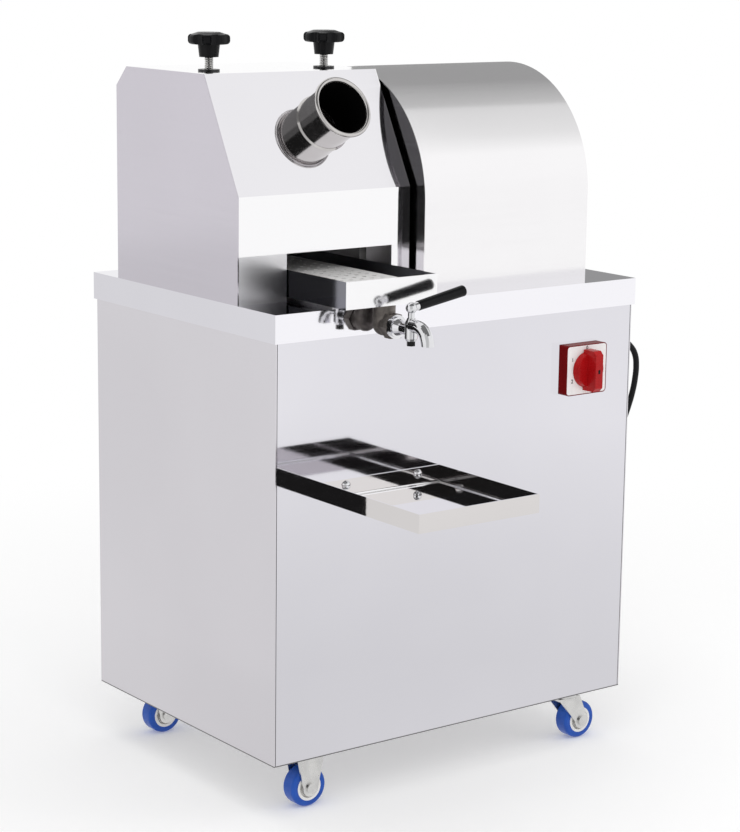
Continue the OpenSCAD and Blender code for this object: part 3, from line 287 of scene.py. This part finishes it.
def threaded_screw(name, node, body):
    (x0, y0, low), (x1, y1, high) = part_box(node)
    axis_x, axis_y = (x0 + x1) / 2, (y0 + y1) / 2
    angles = [2 * math.pi * k / screw_sides for k in range(screw_sides)]
    rings = []
    for z, radii in screw_rings(low, high, (x1 - x0) / 2):
        rings.append([(axis_x + r * math.cos(a), axis_y + r * math.sin(a), z)
                      for r, a in zip(radii, angles)])
    bm = bmesh.new()
    loft(bm, rings)
    screw = new_piece(name, bm, smooth_angle=60)
    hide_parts(node)
    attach(screw, body)
    return screw


screws = [threaded_screw(side + "_thread", side + "_screw", side + "_handle") for side in ("left", "right")]
print("threads of", [len(screw.data.vertices) for screw in screws], "points")

# %% [markdown]
# ## Marks on the switch
# The plate of the rotary switch carries three plain figures, one for each of its positions, and the handle
# has a small dark inlay. A text object draws the figures, which stay sharp at any distance and need no
# picture file, and its filled outline is then kept as a thin mesh, so each figure has a true size and place.

# %% Figures
plate_mid = Vector((189.5, -134.75, 510)) * mm
mark_r, mark_step = 27.4 * mm, 60
figure_h, figure_t, figure_fat = 7 * mm, 0.06 * mm, 0.1 * mm


def figure(text, turn):
    outline = bpy.data.curves.new("pen_" + text, "FONT")
    outline.body = text
    outline.size = figure_h
    outline.align_x, outline.align_y = "CENTER", "CENTER"
    outline.extrude = figure_t
    outline.offset = figure_fat
    pen = bpy.data.objects.new("pen_" + text, outline)
    scene.collection.objects.link(pen)
    mesh = bpy.data.meshes.new_from_object(pen.evaluated_get(bpy.context.evaluated_depsgraph_get()))
    bpy.data.objects.remove(pen)
    a = math.radians(turn)
    place = plate_mid + Vector((-mark_r * math.sin(a), 0, mark_r * math.cos(a)))
    mesh.transform(Matrix.Translation(place) @ Matrix.Rotation(math.pi / 2, 4, "X"))
    mark = bpy.data.objects.new("figure_" + text, mesh)
    scene.collection.objects.link(mark)
    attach(mark, "cabinet")
    return mark


figures = [figure(str(k), k * mark_step) for k in range(3)]
print("figures", [mark.name for mark in figures])

# %% Inlay of the handle
inlay_w, inlay_h, inlay_corner = 3.4 * mm, 5.2 * mm, 0.8 * mm
inlay_depths = (0.4 * mm, -0.08 * mm)
handle_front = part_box("switch_knob")[0][1]
inlay_ring = rounded_ring(inlay_w, inlay_h, inlay_corner, 3)
bm = bmesh.new()
loft(bm, [[(plate_mid.x + x, handle_front + y, plate_mid.z + z) for x, z in inlay_ring]
          for y in inlay_depths])
inlay = new_piece("dial_inlay", bm)
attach(inlay, "dial")
print("inlay on the handle at", round(handle_front / mm, 1), "mm")

# %% [markdown]
# ## The bend inside the shelf
# The shelf is folded from one sheet, so its floor runs up into the rim in a small curve. That curve draws the
# bright lines inside the shelf, partly by what it mirrors and partly by painted light, as its finish is a
# paler copy of the steel. It could be a bevel on the solid, but an inner edge has two sheets behind it, so a
# thin strip with a hollow quarter-round section is laid into the corner instead.

# %% Strip along the shelf floor
shelf_low, shelf_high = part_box("cup_shelf")
sheet_t, bend_r, lay_off, bend_steps = 1.5 * mm, 2.6 * mm, 0.02 * mm, 5


def shelf_ring(inset, up):
    gap = sheet_t + lay_off + inset
    x0, x1 = shelf_low[0] + gap, shelf_high[0] - gap
    y0, y1 = shelf_low[1] + gap, shelf_high[1] - gap
    z = shelf_low[2] + sheet_t + lay_off + up
    return [(x0, y0, z), (x1, y0, z), (x1, y1, z), (x0, y1, z)]


bend_turns = [math.radians(90 * i / bend_steps) for i in range(bend_steps + 1)]
bend_rings = [shelf_ring(bend_r * (1 - math.sin(t)), bend_r * (1 - math.cos(t))) for t in bend_turns]
bm = bmesh.new()
loft(bm, bend_rings + [shelf_ring(0, 0)], closed=True)
shelf_bend = new_piece("shelf_bend", bm, smooth_angle=35)
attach(shelf_bend, "cabinet")
print("strip round", [round((h - l) / mm) for l, h in zip(shelf_low, shelf_high)], "mm")

# %% [markdown]
# ## Screws of the rear panel
# The rear panel comes off for service, so it is held by six small screws with hexagon heads on flanges. One
# head is a stack of rings: a round flange, then a hexagon that is chamfered at its top. Rings of 24 points
# serve both forms: a multiple of six gives the hexagon its corners, and 24 are round enough at this size.

# %% Hexagon heads
rear_low, rear_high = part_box("rear_panel")
head_inset, top_inset = 14 * mm, 42 * mm
hex_r, flange_r, head_points = 4.1 * mm, 5.2 * mm, 24


def head_ring(r, six_sided, out):
    """A circle, or a hexagon with its corners at r, so many millimetres out from the panel."""
    ring = []
    for k in range(head_points):
        a = 2 * math.pi * k / head_points
        flat = math.cos(math.pi / 6) / math.cos((a + math.pi / 6) % (math.pi / 3) - math.pi / 6)
        reach = r * flat if six_sided else r
        ring.append((reach * math.cos(a), out * mm, reach * math.sin(a)))
    return ring


head_rings = [head_ring(flange_r, False, 0), head_ring(flange_r, False, 0.7),
              head_ring(hex_r + 0.3 * mm, False, 1.3), head_ring(hex_r, True, 1.4),
              head_ring(hex_r, True, 3.9), head_ring(hex_r * 0.84, False, 4.5)]
bm = bmesh.new()
for x in (rear_low[0] + head_inset, (rear_low[0] + rear_high[0]) / 2, rear_high[0] - head_inset):
    for z in (rear_low[2] + head_inset, rear_high[2] - top_inset):
        at = Vector((x, rear_high[1], z))
        loft(bm, [[at + Vector(point) for point in ring] for ring in head_rings])
rear_screws = new_piece("rear_screws", bm, smooth_angle=30)
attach(rear_screws, "cabinet")
print("rear panel from", [round(v / mm) for v in rear_low], "to", [round(v / mm) for v in rear_high])

# %% [markdown]
# ## A small kit for finishes
# Every finish here is a principled shader with three layers of detail: a slow drift of colour, a roughness
# that changes from place to place, and a bump of the right grain size. Image textures could do this too, but
# noise in object space needs no unwrapping, and the model is in metres, so a scale of 100 is one grain per
# centimetre. Two small helpers come first, because sums and ranges of values turn up in many node trees.


# %% Node helpers
def maths(tree, kind, operation, *given):
    """One maths node. Each value given is a number, a vector or the socket that feeds it."""
    node = tree.nodes.new(kind)
    node.operation = operation
    for socket, value in zip(node.inputs, given):
        if isinstance(value, bpy.types.NodeSocket):
            tree.links.new(value, socket)
        else:
            socket.default_value = value
    return node


def map_range(tree, value, start, end):
    """One range node: the socket's value goes from the pair start to the pair end."""
    node = tree.nodes.new("ShaderNodeMapRange")
    node.inputs["From Min"].default_value, node.inputs["From Max"].default_value = start
    node.inputs["To Min"].default_value, node.inputs["To Max"].default_value = end
    tree.links.new(value, node.inputs["Value"])
    return node


print("node helpers ready")

# %% Finish helper
tone_span, gloss_span = (0.32, 0.68), (0.3, 0.7)  # the noise values between which tone or gloss changes
slow_detail, fine_detail = 3, 4


def finish(name, light, dark, metallic, rough, grain, bump, drift, stretch=(1, 1, 1), depth=0.1, **sockets):
    """Colours light and dark drift into each other, at drift per metre. Roughness goes between the pair
    rough. The grain's scale is per metre, its depth in millimetres, and stretch draws it out."""
    made = bpy.data.materials.new(name)
    made.use_nodes = True
    tree = made.node_tree
    shader = tree.nodes["Principled BSDF"]
    add, link = tree.nodes.new, tree.links.new
    place = add("ShaderNodeTexCoord")
    slow = add("ShaderNodeTexNoise")
    slow.inputs["Scale"].default_value = drift
    slow.inputs["Detail"].default_value = slow_detail
    link(place.outputs["Object"], slow.inputs["Vector"])
    tones = add("ShaderNodeValToRGB")
    for stop, position, colour in zip(tones.color_ramp.elements, tone_span, (dark, light)):
        stop.position = position
        stop.color = (*colour, 1)
    link(slow.outputs["Fac"], tones.inputs["Fac"])
    link(tones.outputs["Color"], shader.inputs["Base Color"])
    run = add("ShaderNodeMapping")
    run.inputs["Scale"].default_value = stretch
    link(place.outputs["Object"], run.inputs["Vector"])
    fine = add("ShaderNodeTexNoise")
    fine.inputs["Scale"].default_value = grain
    fine.inputs["Detail"].default_value = fine_detail
    link(run.outputs["Vector"], fine.inputs["Vector"])
    gloss = map_range(tree, fine.outputs["Fac"], gloss_span, rough)
    link(gloss.outputs["Result"], shader.inputs["Roughness"])
    relief = add("ShaderNodeBump")
    relief.inputs["Strength"].default_value = bump
    relief.inputs["Distance"].default_value = depth * mm
    link(fine.outputs["Fac"], relief.inputs["Height"])
    link(relief.outputs["Normal"], shader.inputs["Normal"])
    shader.inputs["Metallic"].default_value = metallic
    for socket, value in sockets.items():
        shader.inputs[socket.replace("_", " ")].default_value = value
    return made


print("finish helper ready")

# %% [markdown]
# ## Sheet steel
# The cabinet, hood and cover are stainless sheet with a bright factory polish. It works as a soft mirror:
# its colour is what it faces. A very fine grain runs along each sheet, left to right on fronts and tops and
# front to back on the sides, and the sheet is never quite flat, so the mirror wavers a little.
# Apart from that, the one steel is given lit and shaded copies: the hood face, hood top, hood right side,
# cover and tray are paler as painted light, the side panels slightly and the hood's left side much darker as
# painted shade.

# %% Mirror-polished sheets
mirror = dict(metallic=1, grain=260, stretch=(0.02, 1, 1), bump=0.03, depth=0.05)
sheet_light, sheet_dark = (0.775, 0.765, 0.81), (0.735, 0.725, 0.77)
painted_light_high, painted_light_low = (0.95, 0.945, 0.955), (0.92, 0.915, 0.925)
front_sheet = finish("front_sheet", sheet_light, sheet_dark, rough=(0.03, 0.07), drift=2.5, **mirror)
pan_sheet = finish("pan_sheet", sheet_light, sheet_dark, rough=(0.03, 0.07), drift=2.5, **mirror)
# Painted light: a paler copy of the same steel, for the hood top and right side, the shelf's bend strip and
# the tray.
painted_light_sheet = finish("painted_light_sheet", painted_light_high, painted_light_low, rough=(0.04, 0.08), drift=3, **mirror)
tray_sheet = finish("tray_sheet", painted_light_high, painted_light_low, rough=(0.09, 0.13), drift=3, **mirror)
# Painted light: the hood face is a paler copy of the steel.
hood_sheet = finish("hood_sheet", (0.845, 0.835, 0.86), (0.81, 0.80, 0.83), rough=(0.03, 0.06), drift=3,
                    **mirror)
shelf_sheet = finish("shelf_sheet", (0.76, 0.735, 0.73), (0.72, 0.695, 0.69), rough=(0.03, 0.07), drift=3,
                     **mirror)
print("mirrors", front_sheet.name, pan_sheet.name, painted_light_sheet.name, hood_sheet.name, shelf_sheet.name)

# %% Softer sheets
side_polish = dict(metallic=1, rough=(0.10, 0.16), grain=260, stretch=(1, 0.02, 1), bump=0.05, depth=0.05,
                   drift=2.5)
satin = dict(grain=300, stretch=(0.03, 1, 1), bump=0.12, drift=6)
# Painted shade: the side panels and cover ends are a slightly darker copy of the front's steel, the hood's
# left side a much darker one.
side_sheet = finish("side_sheet", (0.735, 0.715, 0.75), (0.70, 0.68, 0.715), **side_polish)
painted_shade_hood_side = finish("painted_shade_hood_side", (0.605, 0.577, 0.632), (0.575, 0.55, 0.60), **side_polish)
# Painted light: the cover is a paler copy of the steel.
cover_sheet = finish("cover_sheet", (0.94, 0.93, 0.94), (0.91, 0.90, 0.91), metallic=1, rough=(0.12, 0.19),
                     grain=300, stretch=(0.015, 1, 1), bump=0.08, depth=0.06, drift=3)
satin_sheet = finish("satin_sheet", (0.82, 0.81, 0.83), (0.74, 0.73, 0.75), metallic=1, rough=(0.26, 0.38),
                     **satin)
strainer_sheet = finish("strainer_sheet", (0.86, 0.85, 0.84), (0.78, 0.77, 0.76), metallic=0.35,
                        rough=(0.34, 0.46), **satin)
print("softer", side_sheet.name, painted_shade_hood_side.name, cover_sheet.name, satin_sheet.name)

# %% [markdown]
# ## Zones on a sheet
# One folded sheet can show two tones, because its faces look at different things, and its folded lower
# edges show a dark line, partly the edge itself and partly shade. Here the zones paint those tones into the
# colour:
# painted light where a face is paler, painted shade where it is darker. Each solid could be split, but a fold
# belongs to one piece. So a zone is a mask in the material: it asks where a point lies, or which way it
# faces, and swaps the tone and the roughness there.


# %% Zones
def zone(material, axis, limit, tone, rough, by="Object"):
    """Tone and roughness past a limit on one axis, or below it for a minus axis. Limits are in millimetres;
    by="Normal" goes by the direction that the surface faces."""
    tree = material.node_tree
    add, link = tree.nodes.new, tree.links.new
    shader = tree.nodes["Principled BSDF"]
    split = add("ShaderNodeSeparateXYZ")
    link(add("ShaderNodeTexCoord").outputs[by], split.inputs["Vector"])
    side_of = "LESS_THAN" if axis.startswith("-") else "GREATER_THAN"
    edge_at = limit * mm if by == "Object" else limit
    inside = maths(tree, "ShaderNodeMath", side_of, split.outputs[axis[-1]], edge_at)
    blend, dull = add("ShaderNodeMix"), add("ShaderNodeMix")
    blend.data_type = "RGBA"
    blend.inputs["B"].default_value = (*tone, 1)
    dull.inputs["B"].default_value = rough
    for socket, mixer in (("Base Color", blend), ("Roughness", dull)):
        link(shader.inputs[socket].links[0].from_socket, mixer.inputs["A"])
        link(inside.outputs["Value"], mixer.inputs["Factor"])
        link(mixer.outputs["Result"], shader.inputs[socket])


hood_inside_x, hood_bend_z = -278.3, 745.2
pan_front_y, painted_shade_line_z = -122.4, 73.4
facing = 0.9
# Painted light: a paler inner face on the hood's left side.
zone(painted_shade_hood_side, "X", hood_inside_x, (0.88, 0.875, 0.90), 0.3)
# Painted light: the hood face below its bend, in the palest tone.
zone(hood_sheet, "-Z", hood_bend_z, painted_light_high, 0.05)
# Painted light: a paler front lip on the pan.
zone(pan_sheet, "-Y", pan_front_y, (0.915, 0.905, 0.945), 0.06)
# Painted shade: the tray's faces that face left are dark.
zone(tray_sheet, "-X", -facing, (0.24, 0.24, 0.27), 0.1, by="Normal")
# Painted reflection: the shelf's upward faces are pale as the white they mirror.
zone(shelf_sheet, "Z", facing, (0.96, 0.955, 0.965), 0.04, by="Normal")
# Painted shade: a dark line along the lower edges of the front and side panels, over the folded edge of the
# sheet.
for sheet in (front_sheet, side_sheet):
    zone(sheet, "-Z", painted_shade_line_z, (0.2, 0.195, 0.2), 0.3)
print("zones on the hood side, the hood face, the pan, the tray, the shelf and the lower edge")

# %% [markdown]
# ## Other metals
# The feed tube is buffed to a mirror outside and left raw in its bore, whose near-black tone is painted shade
# for the deep inside of the tube. The mill is turned steel, the casters are zinc plated, the pipe under the
# tray is a rough casting, and the tap is chromed, with a dark nut under its plug.

# %% Metal finishes
plating = dict(metallic=1, rough=(0.04, 0.09), grain=150, bump=0.03, depth=0.05, drift=30)
chrome_light, chrome_dark = (0.80, 0.80, 0.82), (0.72, 0.72, 0.74)
nut_top_z = 585.4
tube_steel = finish("tube_steel", (0.66, 0.64, 0.63), (0.56, 0.54, 0.53), metallic=1, rough=(0.11, 0.17),
                    grain=220, bump=0.03, depth=0.05, drift=9)
mill_steel = finish("mill_steel", (0.42, 0.41, 0.41), (0.30, 0.29, 0.29), metallic=1, rough=(0.28, 0.42),
                    grain=400, stretch=(0.05, 1, 1), bump=0.2, drift=12)
zinc_plate = finish("zinc_plate", (0.78, 0.775, 0.76), (0.66, 0.655, 0.65), metallic=1, rough=(0.22, 0.38),
                    grain=180, bump=0.12, drift=60)
cast_pipe = finish("cast_pipe", (0.27, 0.245, 0.225), (0.13, 0.115, 0.105), metallic=0.75,
                   rough=(0.42, 0.62), grain=420, bump=0.5, depth=0.5, drift=70)
dark_steel = finish("dark_steel", (0.06, 0.06, 0.062), (0.035, 0.035, 0.036), metallic=1, rough=(0.25, 0.4),
                    grain=400, bump=0.1, drift=60)
chrome = finish("chrome", chrome_light, chrome_dark, **plating)
lever_chrome = finish("lever_chrome", chrome_light, chrome_dark, **plating)
zone(lever_chrome, "-Z", nut_top_z, (0.02, 0.02, 0.02), 0.35)
print("metals", tube_steel.name, mill_steel.name, zinc_plate.name, cast_pipe.name, chrome.name)

# %% Painted shade in the bore of the feed tube: the distance from the tube's axis is the mask
plate_tilt = math.atan2(73, 138)  # the slanted plate's run and rise in millimetres
tube_foot = Vector((-131, -4, 822.5)) * mm
tube_way = Vector((0, -math.cos(plate_tilt), math.sin(plate_tilt)))
# Painted shade: the bore's near-black tone stands in for the dark inside of the tube.
bore_r, bore_painted_shade, bore_dull = 33.1 * mm, (0.012, 0.011, 0.011, 1), 0.6
tree = tube_steel.node_tree
add, link = tree.nodes.new, tree.links.new
place = add("ShaderNodeTexCoord").outputs["Object"]
from_foot = maths(tree, "ShaderNodeVectorMath", "SUBTRACT", place, tube_foot)
off_axis = maths(tree, "ShaderNodeVectorMath", "CROSS_PRODUCT", from_foot.outputs["Vector"], tube_way)
radius = maths(tree, "ShaderNodeVectorMath", "LENGTH", off_axis.outputs["Vector"])
in_bore = maths(tree, "ShaderNodeMath", "LESS_THAN", radius.outputs["Value"], bore_r).outputs["Value"]
shader = tree.nodes["Principled BSDF"]
bore_tone = add("ShaderNodeMix")
bore_tone.data_type = "RGBA"
bore_tone.inputs["B"].default_value = bore_painted_shade
link(in_bore, bore_tone.inputs["Factor"])
link(tree.nodes["Color Ramp"].outputs["Color"], bore_tone.inputs["A"])
link(bore_tone.outputs["Result"], shader.inputs["Base Color"])
polish = tree.nodes["Map Range"].outputs["Result"]
bore_rough = maths(tree, "ShaderNodeMath", "MULTIPLY_ADD", in_bore, bore_dull, polish)
link(bore_rough.outputs["Value"], shader.inputs["Roughness"])
print("bore is dark inside", round(bore_r / mm, 1), "mm")

# %% [markdown]
# ## Plastics, rubber and paint
# Knobs and grip are black phenolic with a gloss that handling has dulled in patches. The switch is red and
# white moulded plastic, the wheels have white hubs and blue urethane treads, and the motor wears grey paint
# with a light orange-peel texture.

# %% Plastic finishes
red_mould = dict(metallic=0, rough=(0.22, 0.34), grain=600, bump=0.08, drift=30)
white_mould = dict(metallic=0, rough=(0.30, 0.42), grain=500, drift=30)
red_plastic = finish("red_plastic", (0.47, 0.008, 0.010), (0.38, 0.005, 0.007), Specular_IOR_Level=0.2,
                     **red_mould)
box_plastic = finish("box_plastic", (0.19, 0.004, 0.005), (0.15, 0.003, 0.004), Specular_IOR_Level=0.02,
                     **red_mould)
plate_plastic = finish("plate_plastic", (0.93, 0.915, 0.91), (0.88, 0.865, 0.86), bump=0.06, **white_mould)
white_plastic = finish("white_plastic", (0.93, 0.92, 0.90), (0.87, 0.86, 0.84), bump=0.08, **white_mould)
black_knob = finish("black_knob", (0.008, 0.008, 0.009), (0.004, 0.004, 0.005), metallic=0,
                    rough=(0.14, 0.30), grain=500, bump=0.12, drift=40, Specular_IOR_Level=0.14)
blue_tread = finish("blue_tread", (0.018, 0.105, 0.52), (0.012, 0.075, 0.41), metallic=0,
                    rough=(0.30, 0.46), grain=420, bump=0.2, depth=0.15, drift=45, Specular_IOR_Level=0.3)
motor_paint = finish("motor_paint", (0.17, 0.19, 0.21), (0.13, 0.145, 0.16), metallic=0,
                     rough=(0.34, 0.48), grain=320, bump=0.25, depth=0.2, drift=20)
cord_jacket = finish("cord_jacket", (0.008, 0.008, 0.009), (0.005, 0.005, 0.006), metallic=0,
                     rough=(0.30, 0.45), grain=700, bump=0.15, drift=50, Specular_IOR_Level=0.18)
print("plastics", red_plastic.name, white_plastic.name, black_knob.name, blue_tread.name, cord_jacket.name)

# %% [markdown]
# ## Dressing the solids
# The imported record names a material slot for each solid, so most finishes go on by slot. Some solids share
# a slot but look different, such as the fronts and sides of the cabinet, and these are named one by one.

# %% Give every solid its finish
by_slot = {"sheet": front_sheet, "tube": tube_steel, "mill": mill_steel, "zinc": zinc_plate,
           "cast": cast_pipe, "chrome": chrome, "black": black_knob, "red": red_plastic,
           "white": white_plastic, "tread": blue_tread, "paint": motor_paint, "jacket": cord_jacket}
# Several named finishes are lit or shaded copies of the same steel: painted light and painted shade.
by_node = {"left_side_panel": side_sheet, "right_side_panel": side_sheet, "base_plate": satin_sheet,
           "top_pan": pan_sheet, "cup_shelf": shelf_sheet,
           "hood_left_side": painted_shade_hood_side, "hood_right_side": painted_light_sheet, "hood_face": hood_sheet,
           "hood_top": painted_light_sheet, "motor_cover": cover_sheet, "cover_left_end": side_sheet,
           "cover_right_end": side_sheet, "juice_tray": tray_sheet, "strainer": strainer_sheet,
           "tray_runners": satin_sheet, "washers": dark_steel, "tap_lever": lever_chrome,
           "switch_box": box_plastic, "switch_face": plate_plastic}


def dress(piece, material):
    piece.data.materials.clear()
    piece.data.materials.append(material)


for part in frame["record"]["subparts"]:
    dress(nodes[part["node"]], by_node.get(part["node"], by_slot[part["material_slot"]]))
# The shelf's bend strip wears the pale copy of the steel: painted light on its lines.
for material, pieces in ((cord_jacket, (mains_cord, plug_body, coil_strap)), (chrome, (plug_pins,)),
                         (zinc_plate, (*screws, rear_screws)), (painted_light_sheet, (shelf_bend,)),
                         (black_knob, (*figures, inlay))):
    for piece in pieces:
        dress(piece, material)

# %% [markdown]
# ## Light, floor and background
# The picture is a catalogue shot on white. Large soft lamps give shape without hard shadows, the floor is a
# pale sheet that keeps the shadow, and the world is white wherever the lens or a mirror looks at it. The
# world could be as bright for everything, but then pale sheets would clip, so it lights the object less.

# %% World
world_light, world_seen = 0.55, 1.0
white_colour = (1, 1, 1, 1)
world = bpy.data.worlds.new("white_studio")
scene.world = world
world.use_nodes = True
tree = world.node_tree
rays = tree.nodes.new("ShaderNodeLightPath")
seen = maths(tree, "ShaderNodeMath", "MAXIMUM", rays.outputs["Is Camera Ray"], rays.outputs["Is Glossy Ray"])
seen_through = maths(tree, "ShaderNodeMath", "MAXIMUM", seen.outputs["Value"],
                     rays.outputs["Is Transmission Ray"])
level = map_range(tree, seen_through.outputs["Value"], (0, 1), (world_light, world_seen))
sky = tree.nodes["Background"]
sky.inputs["Color"].default_value = white_colour
tree.links.new(level.outputs["Result"], sky.inputs["Strength"])
print("world lights at", world_light, "and is seen at", world_seen)

# %% Floor: paper near the object that fades to plain white, a little dimmer in mirrors close by
floor_size, floor_z = 60, -0.0005
fade_run, dim_run, mirror_dim = (0.7, 1.7), (0.6, 2.4), -0.17
bpy.ops.mesh.primitive_grid_add(x_subdivisions=2, y_subdivisions=2, size=floor_size, location=(0, 0, floor_z))
floor = bpy.context.object
floor.name = "studio_floor"
floor_paper = bpy.data.materials.new("floor_paper")
floor_paper.use_nodes = True
tree = floor_paper.node_tree
add, link = tree.nodes.new, tree.links.new
paper = tree.nodes["Principled BSDF"]
for socket, value in (("Base Color", (0.9, 0.9, 0.9, 1)), ("Roughness", 0.9), ("Specular IOR Level", 0),
                      ("Emission Color", white_colour), ("Emission Strength", 0.2)):
    paper.inputs[socket].default_value = value
rays = add("ShaderNodeLightPath")
in_mirror = rays.outputs["Is Glossy Ray"]
spot = add("ShaderNodeNewGeometry")
away = maths(tree, "ShaderNodeVectorMath", "LENGTH", spot.outputs["Position"]).outputs["Value"]
far = map_range(tree, away, fade_run, (0, 1))
far.interpolation_type = "SMOOTHSTEP"
seen_far = maths(tree, "ShaderNodeMath", "MULTIPLY", far.outputs["Result"], rays.outputs["Is Camera Ray"])
fade = maths(tree, "ShaderNodeMath", "MAXIMUM", seen_far.outputs["Value"], in_mirror)
dimmer = map_range(tree, away, dim_run, (mirror_dim, 0))
glow = maths(tree, "ShaderNodeMath", "MULTIPLY_ADD", in_mirror, dimmer.outputs["Result"], 1)
white = add("ShaderNodeEmission")
white.inputs["Color"].default_value = white_colour
link(glow.outputs["Value"], white.inputs["Strength"])
blend = add("ShaderNodeMixShader")
link(fade.outputs["Value"], blend.inputs["Fac"])
link(paper.outputs["BSDF"], blend.inputs[1])
link(white.outputs["Emission"], blend.inputs[2])
link(blend.outputs["Shader"], tree.nodes["Material Output"].inputs["Surface"])
dress(floor, floor_paper)
print("floor", floor_size, "m wide")


# %% Lamps, which the mirrors don't see
def soft_lamp(name, place, aim, size, watts):
    data = bpy.data.lights.new(name, "AREA")
    data.shape = "RECTANGLE"
    data.size, data.size_y = size
    data.energy = watts
    lamp = bpy.data.objects.new(name, data)
    lamp.location = place
    lamp.rotation_euler = (Vector(aim) - Vector(place)).to_track_quat("-Z", "Y").to_euler()
    lamp.visible_glossy = False
    scene.collection.objects.link(lamp)


soft_lamp("key_softbox", (-1.8, -2.6, 3.4), (0, 0, 0.5), (4.2, 3.6), 50)
soft_lamp("fill_softbox", (3.2, -2.2, 2.4), (0, 0, 0.4), (3.0, 3.0), 26)
soft_lamp("top_softbox", (0, 0.4, 4.4), (0, 0, 0.4), (4.0, 4.0), 44)
print("three soft lamps")

# %% [markdown]
# ## Cards for the mirrors
# Polished metal needs something to reflect, so cards stand where only mirrors see them, as they do in a real
# studio: dark ones on the camera side, where a studio is unlit, and grey ones behind and overhead, for the
# bands on the arched cover. In a corner of two sheets a ray meets two mirrors, and there the dark cards show
# darker than in one plain sheet.


# %% Card helpers
def card(name, corners, tone, end_tone=None, run=(0, 1), first_tone=None):
    """A plate that only mirrors can see. Its tone may change to end_tone along Y, from run[0] to run[1].
    With first_tone, tone is what two mirrors in a corner show, and first_tone what a single one shows."""
    mesh = bpy.data.meshes.new(name)
    mesh.from_pydata(corners, [], [tuple(range(len(corners)))])
    plate = bpy.data.objects.new(name, mesh)
    scene.collection.objects.link(plate)
    cloth = bpy.data.materials.new(name)
    cloth.use_nodes = True
    cloth.cycles.emission_sampling = "NONE"
    tree = cloth.node_tree
    add, link = tree.nodes.new, tree.links.new
    tree.nodes.remove(tree.nodes["Principled BSDF"])
    glow = add("ShaderNodeEmission")
    glow.inputs["Color"].default_value = white_colour
    glow.inputs["Strength"].default_value = tone
    if end_tone is not None:
        split = add("ShaderNodeSeparateXYZ")
        link(add("ShaderNodeNewGeometry").outputs["Position"], split.inputs["Vector"])
        ramp = map_range(tree, split.outputs["Y"], run, (tone, end_tone))
        link(ramp.outputs["Result"], glow.inputs["Strength"])
    if first_tone is not None:
        bounces = add("ShaderNodeLightPath").outputs["Glossy Depth"]
        ramp = map_range(tree, bounces, (1, 2), (first_tone, tone))
        link(ramp.outputs["Result"], glow.inputs["Strength"])
    link(glow.outputs["Emission"], tree.nodes["Material Output"].inputs["Surface"])
    dress(plate, cloth)
    plate.visible_camera = plate.visible_diffuse = plate.visible_shadow = plate.visible_transmission = False


def level_card(name, z, corners, *tones, **more):
    card(name, [(x, y, z) for x, y in corners], *tones, **more)


print("card helpers ready")

# %% Walls behind the camera and cards on the floor
camera_back, wall_left, wall_right, wall_join, ceiling = 0.6, 1.9, 1.5, 2.3, 3.8
dark_tone, dim_tone, wall_first_tone = 0.015, 0.11, 0.62
floor_card_z = 0.001
behind = camera.matrix_world @ Vector((0, 0, camera_back))
across = Matrix.Rotation(-heading, 3, "Z") @ Vector((1, 0, 0))
foot = Vector((behind.x, behind.y, 0))


def wall(name, low, high, tone):
    left, right = foot - across * wall_left, foot + across * wall_right
    down, up = Vector((0, 0, low)), Vector((0, 0, high))
    card(name, [left + down, right + down, right + up, left + up], tone, first_tone=wall_first_tone)


wall("dark_wall", 0, wall_join, dark_tone)
wall("dim_wall", wall_join, ceiling, dim_tone)
level_card("dark_floor", floor_card_z, [(-0.5, -0.75), (-1.0, -0.45), (-3.6, -2.0), (-3.0, -3.8),
                                        (-0.9, -3.6)], dark_tone, first_tone=0.8)
level_card("grey_side", floor_card_z, [(-4.5, 0.2), (-0.6, 0.2), (-0.3, 4.5), (-4.5, 4.5)], 0.86)
print("walls and floor cards")

# %% Screens round the switch, so that the polished front stays plain beside it
box_low, box_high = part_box("switch_box")
screen_off, screen_tone = 0.4 * mm, 0.965
x0, x1 = box_low[0] - screen_off, box_high[0] + screen_off
z0, z1 = box_low[2] - screen_off, box_high[2] + screen_off
for name, (xa, za), (xb, zb) in (("left", (x0, z0), (x0, z1)), ("right", (x1, z0), (x1, z1)),
                                 ("low", (x0, z0), (x1, z0)), ("top", (x0, z1), (x1, z1))):
    card("switch_screen_" + name, [(xa, box_low[1], za), (xb, box_low[1], zb), (xb, box_high[1], zb),
                                   (xa, box_high[1], za)], screen_tone)
print("four screens round the switch")

# %% Grey cards behind and overhead
back_x, back_y, far_x = 2.27, 3.2, 6
band_y, pale_y, fade_y = -0.32, -2.3, -4.3
card("grey_back", [(back_x, back_y, 0), (far_x, back_y, 0), (far_x, back_y, ceiling),
                   (back_x, back_y, ceiling)], 0.34)
level_card("grey_overhead", ceiling, [(-4, -3.6), (1.9, -3.6), (1.9, 0.3), (-4, 0.3)], 0.2)
level_card("grey_band", ceiling, [(2.0, band_y), (far_x, band_y), (far_x, back_y), (2.0, back_y)],
           0.55, 0.34, (band_y, 1.6))
level_card("pale_band", ceiling, [(2.1, band_y), (far_x, band_y), (far_x, pale_y), (2.79, pale_y),
                                  (2.4, -1.49)], 0.72, 0.80, (band_y, pale_y))
level_card("fade_band", ceiling, [(2.79, pale_y), (far_x, pale_y), (7, fade_y), (3.9, fade_y), (3.32, -3.23),
                                  (3.05, -2.75)], 0.80, 1, (pale_y, fade_y))
print("cards for the bands on the cover")
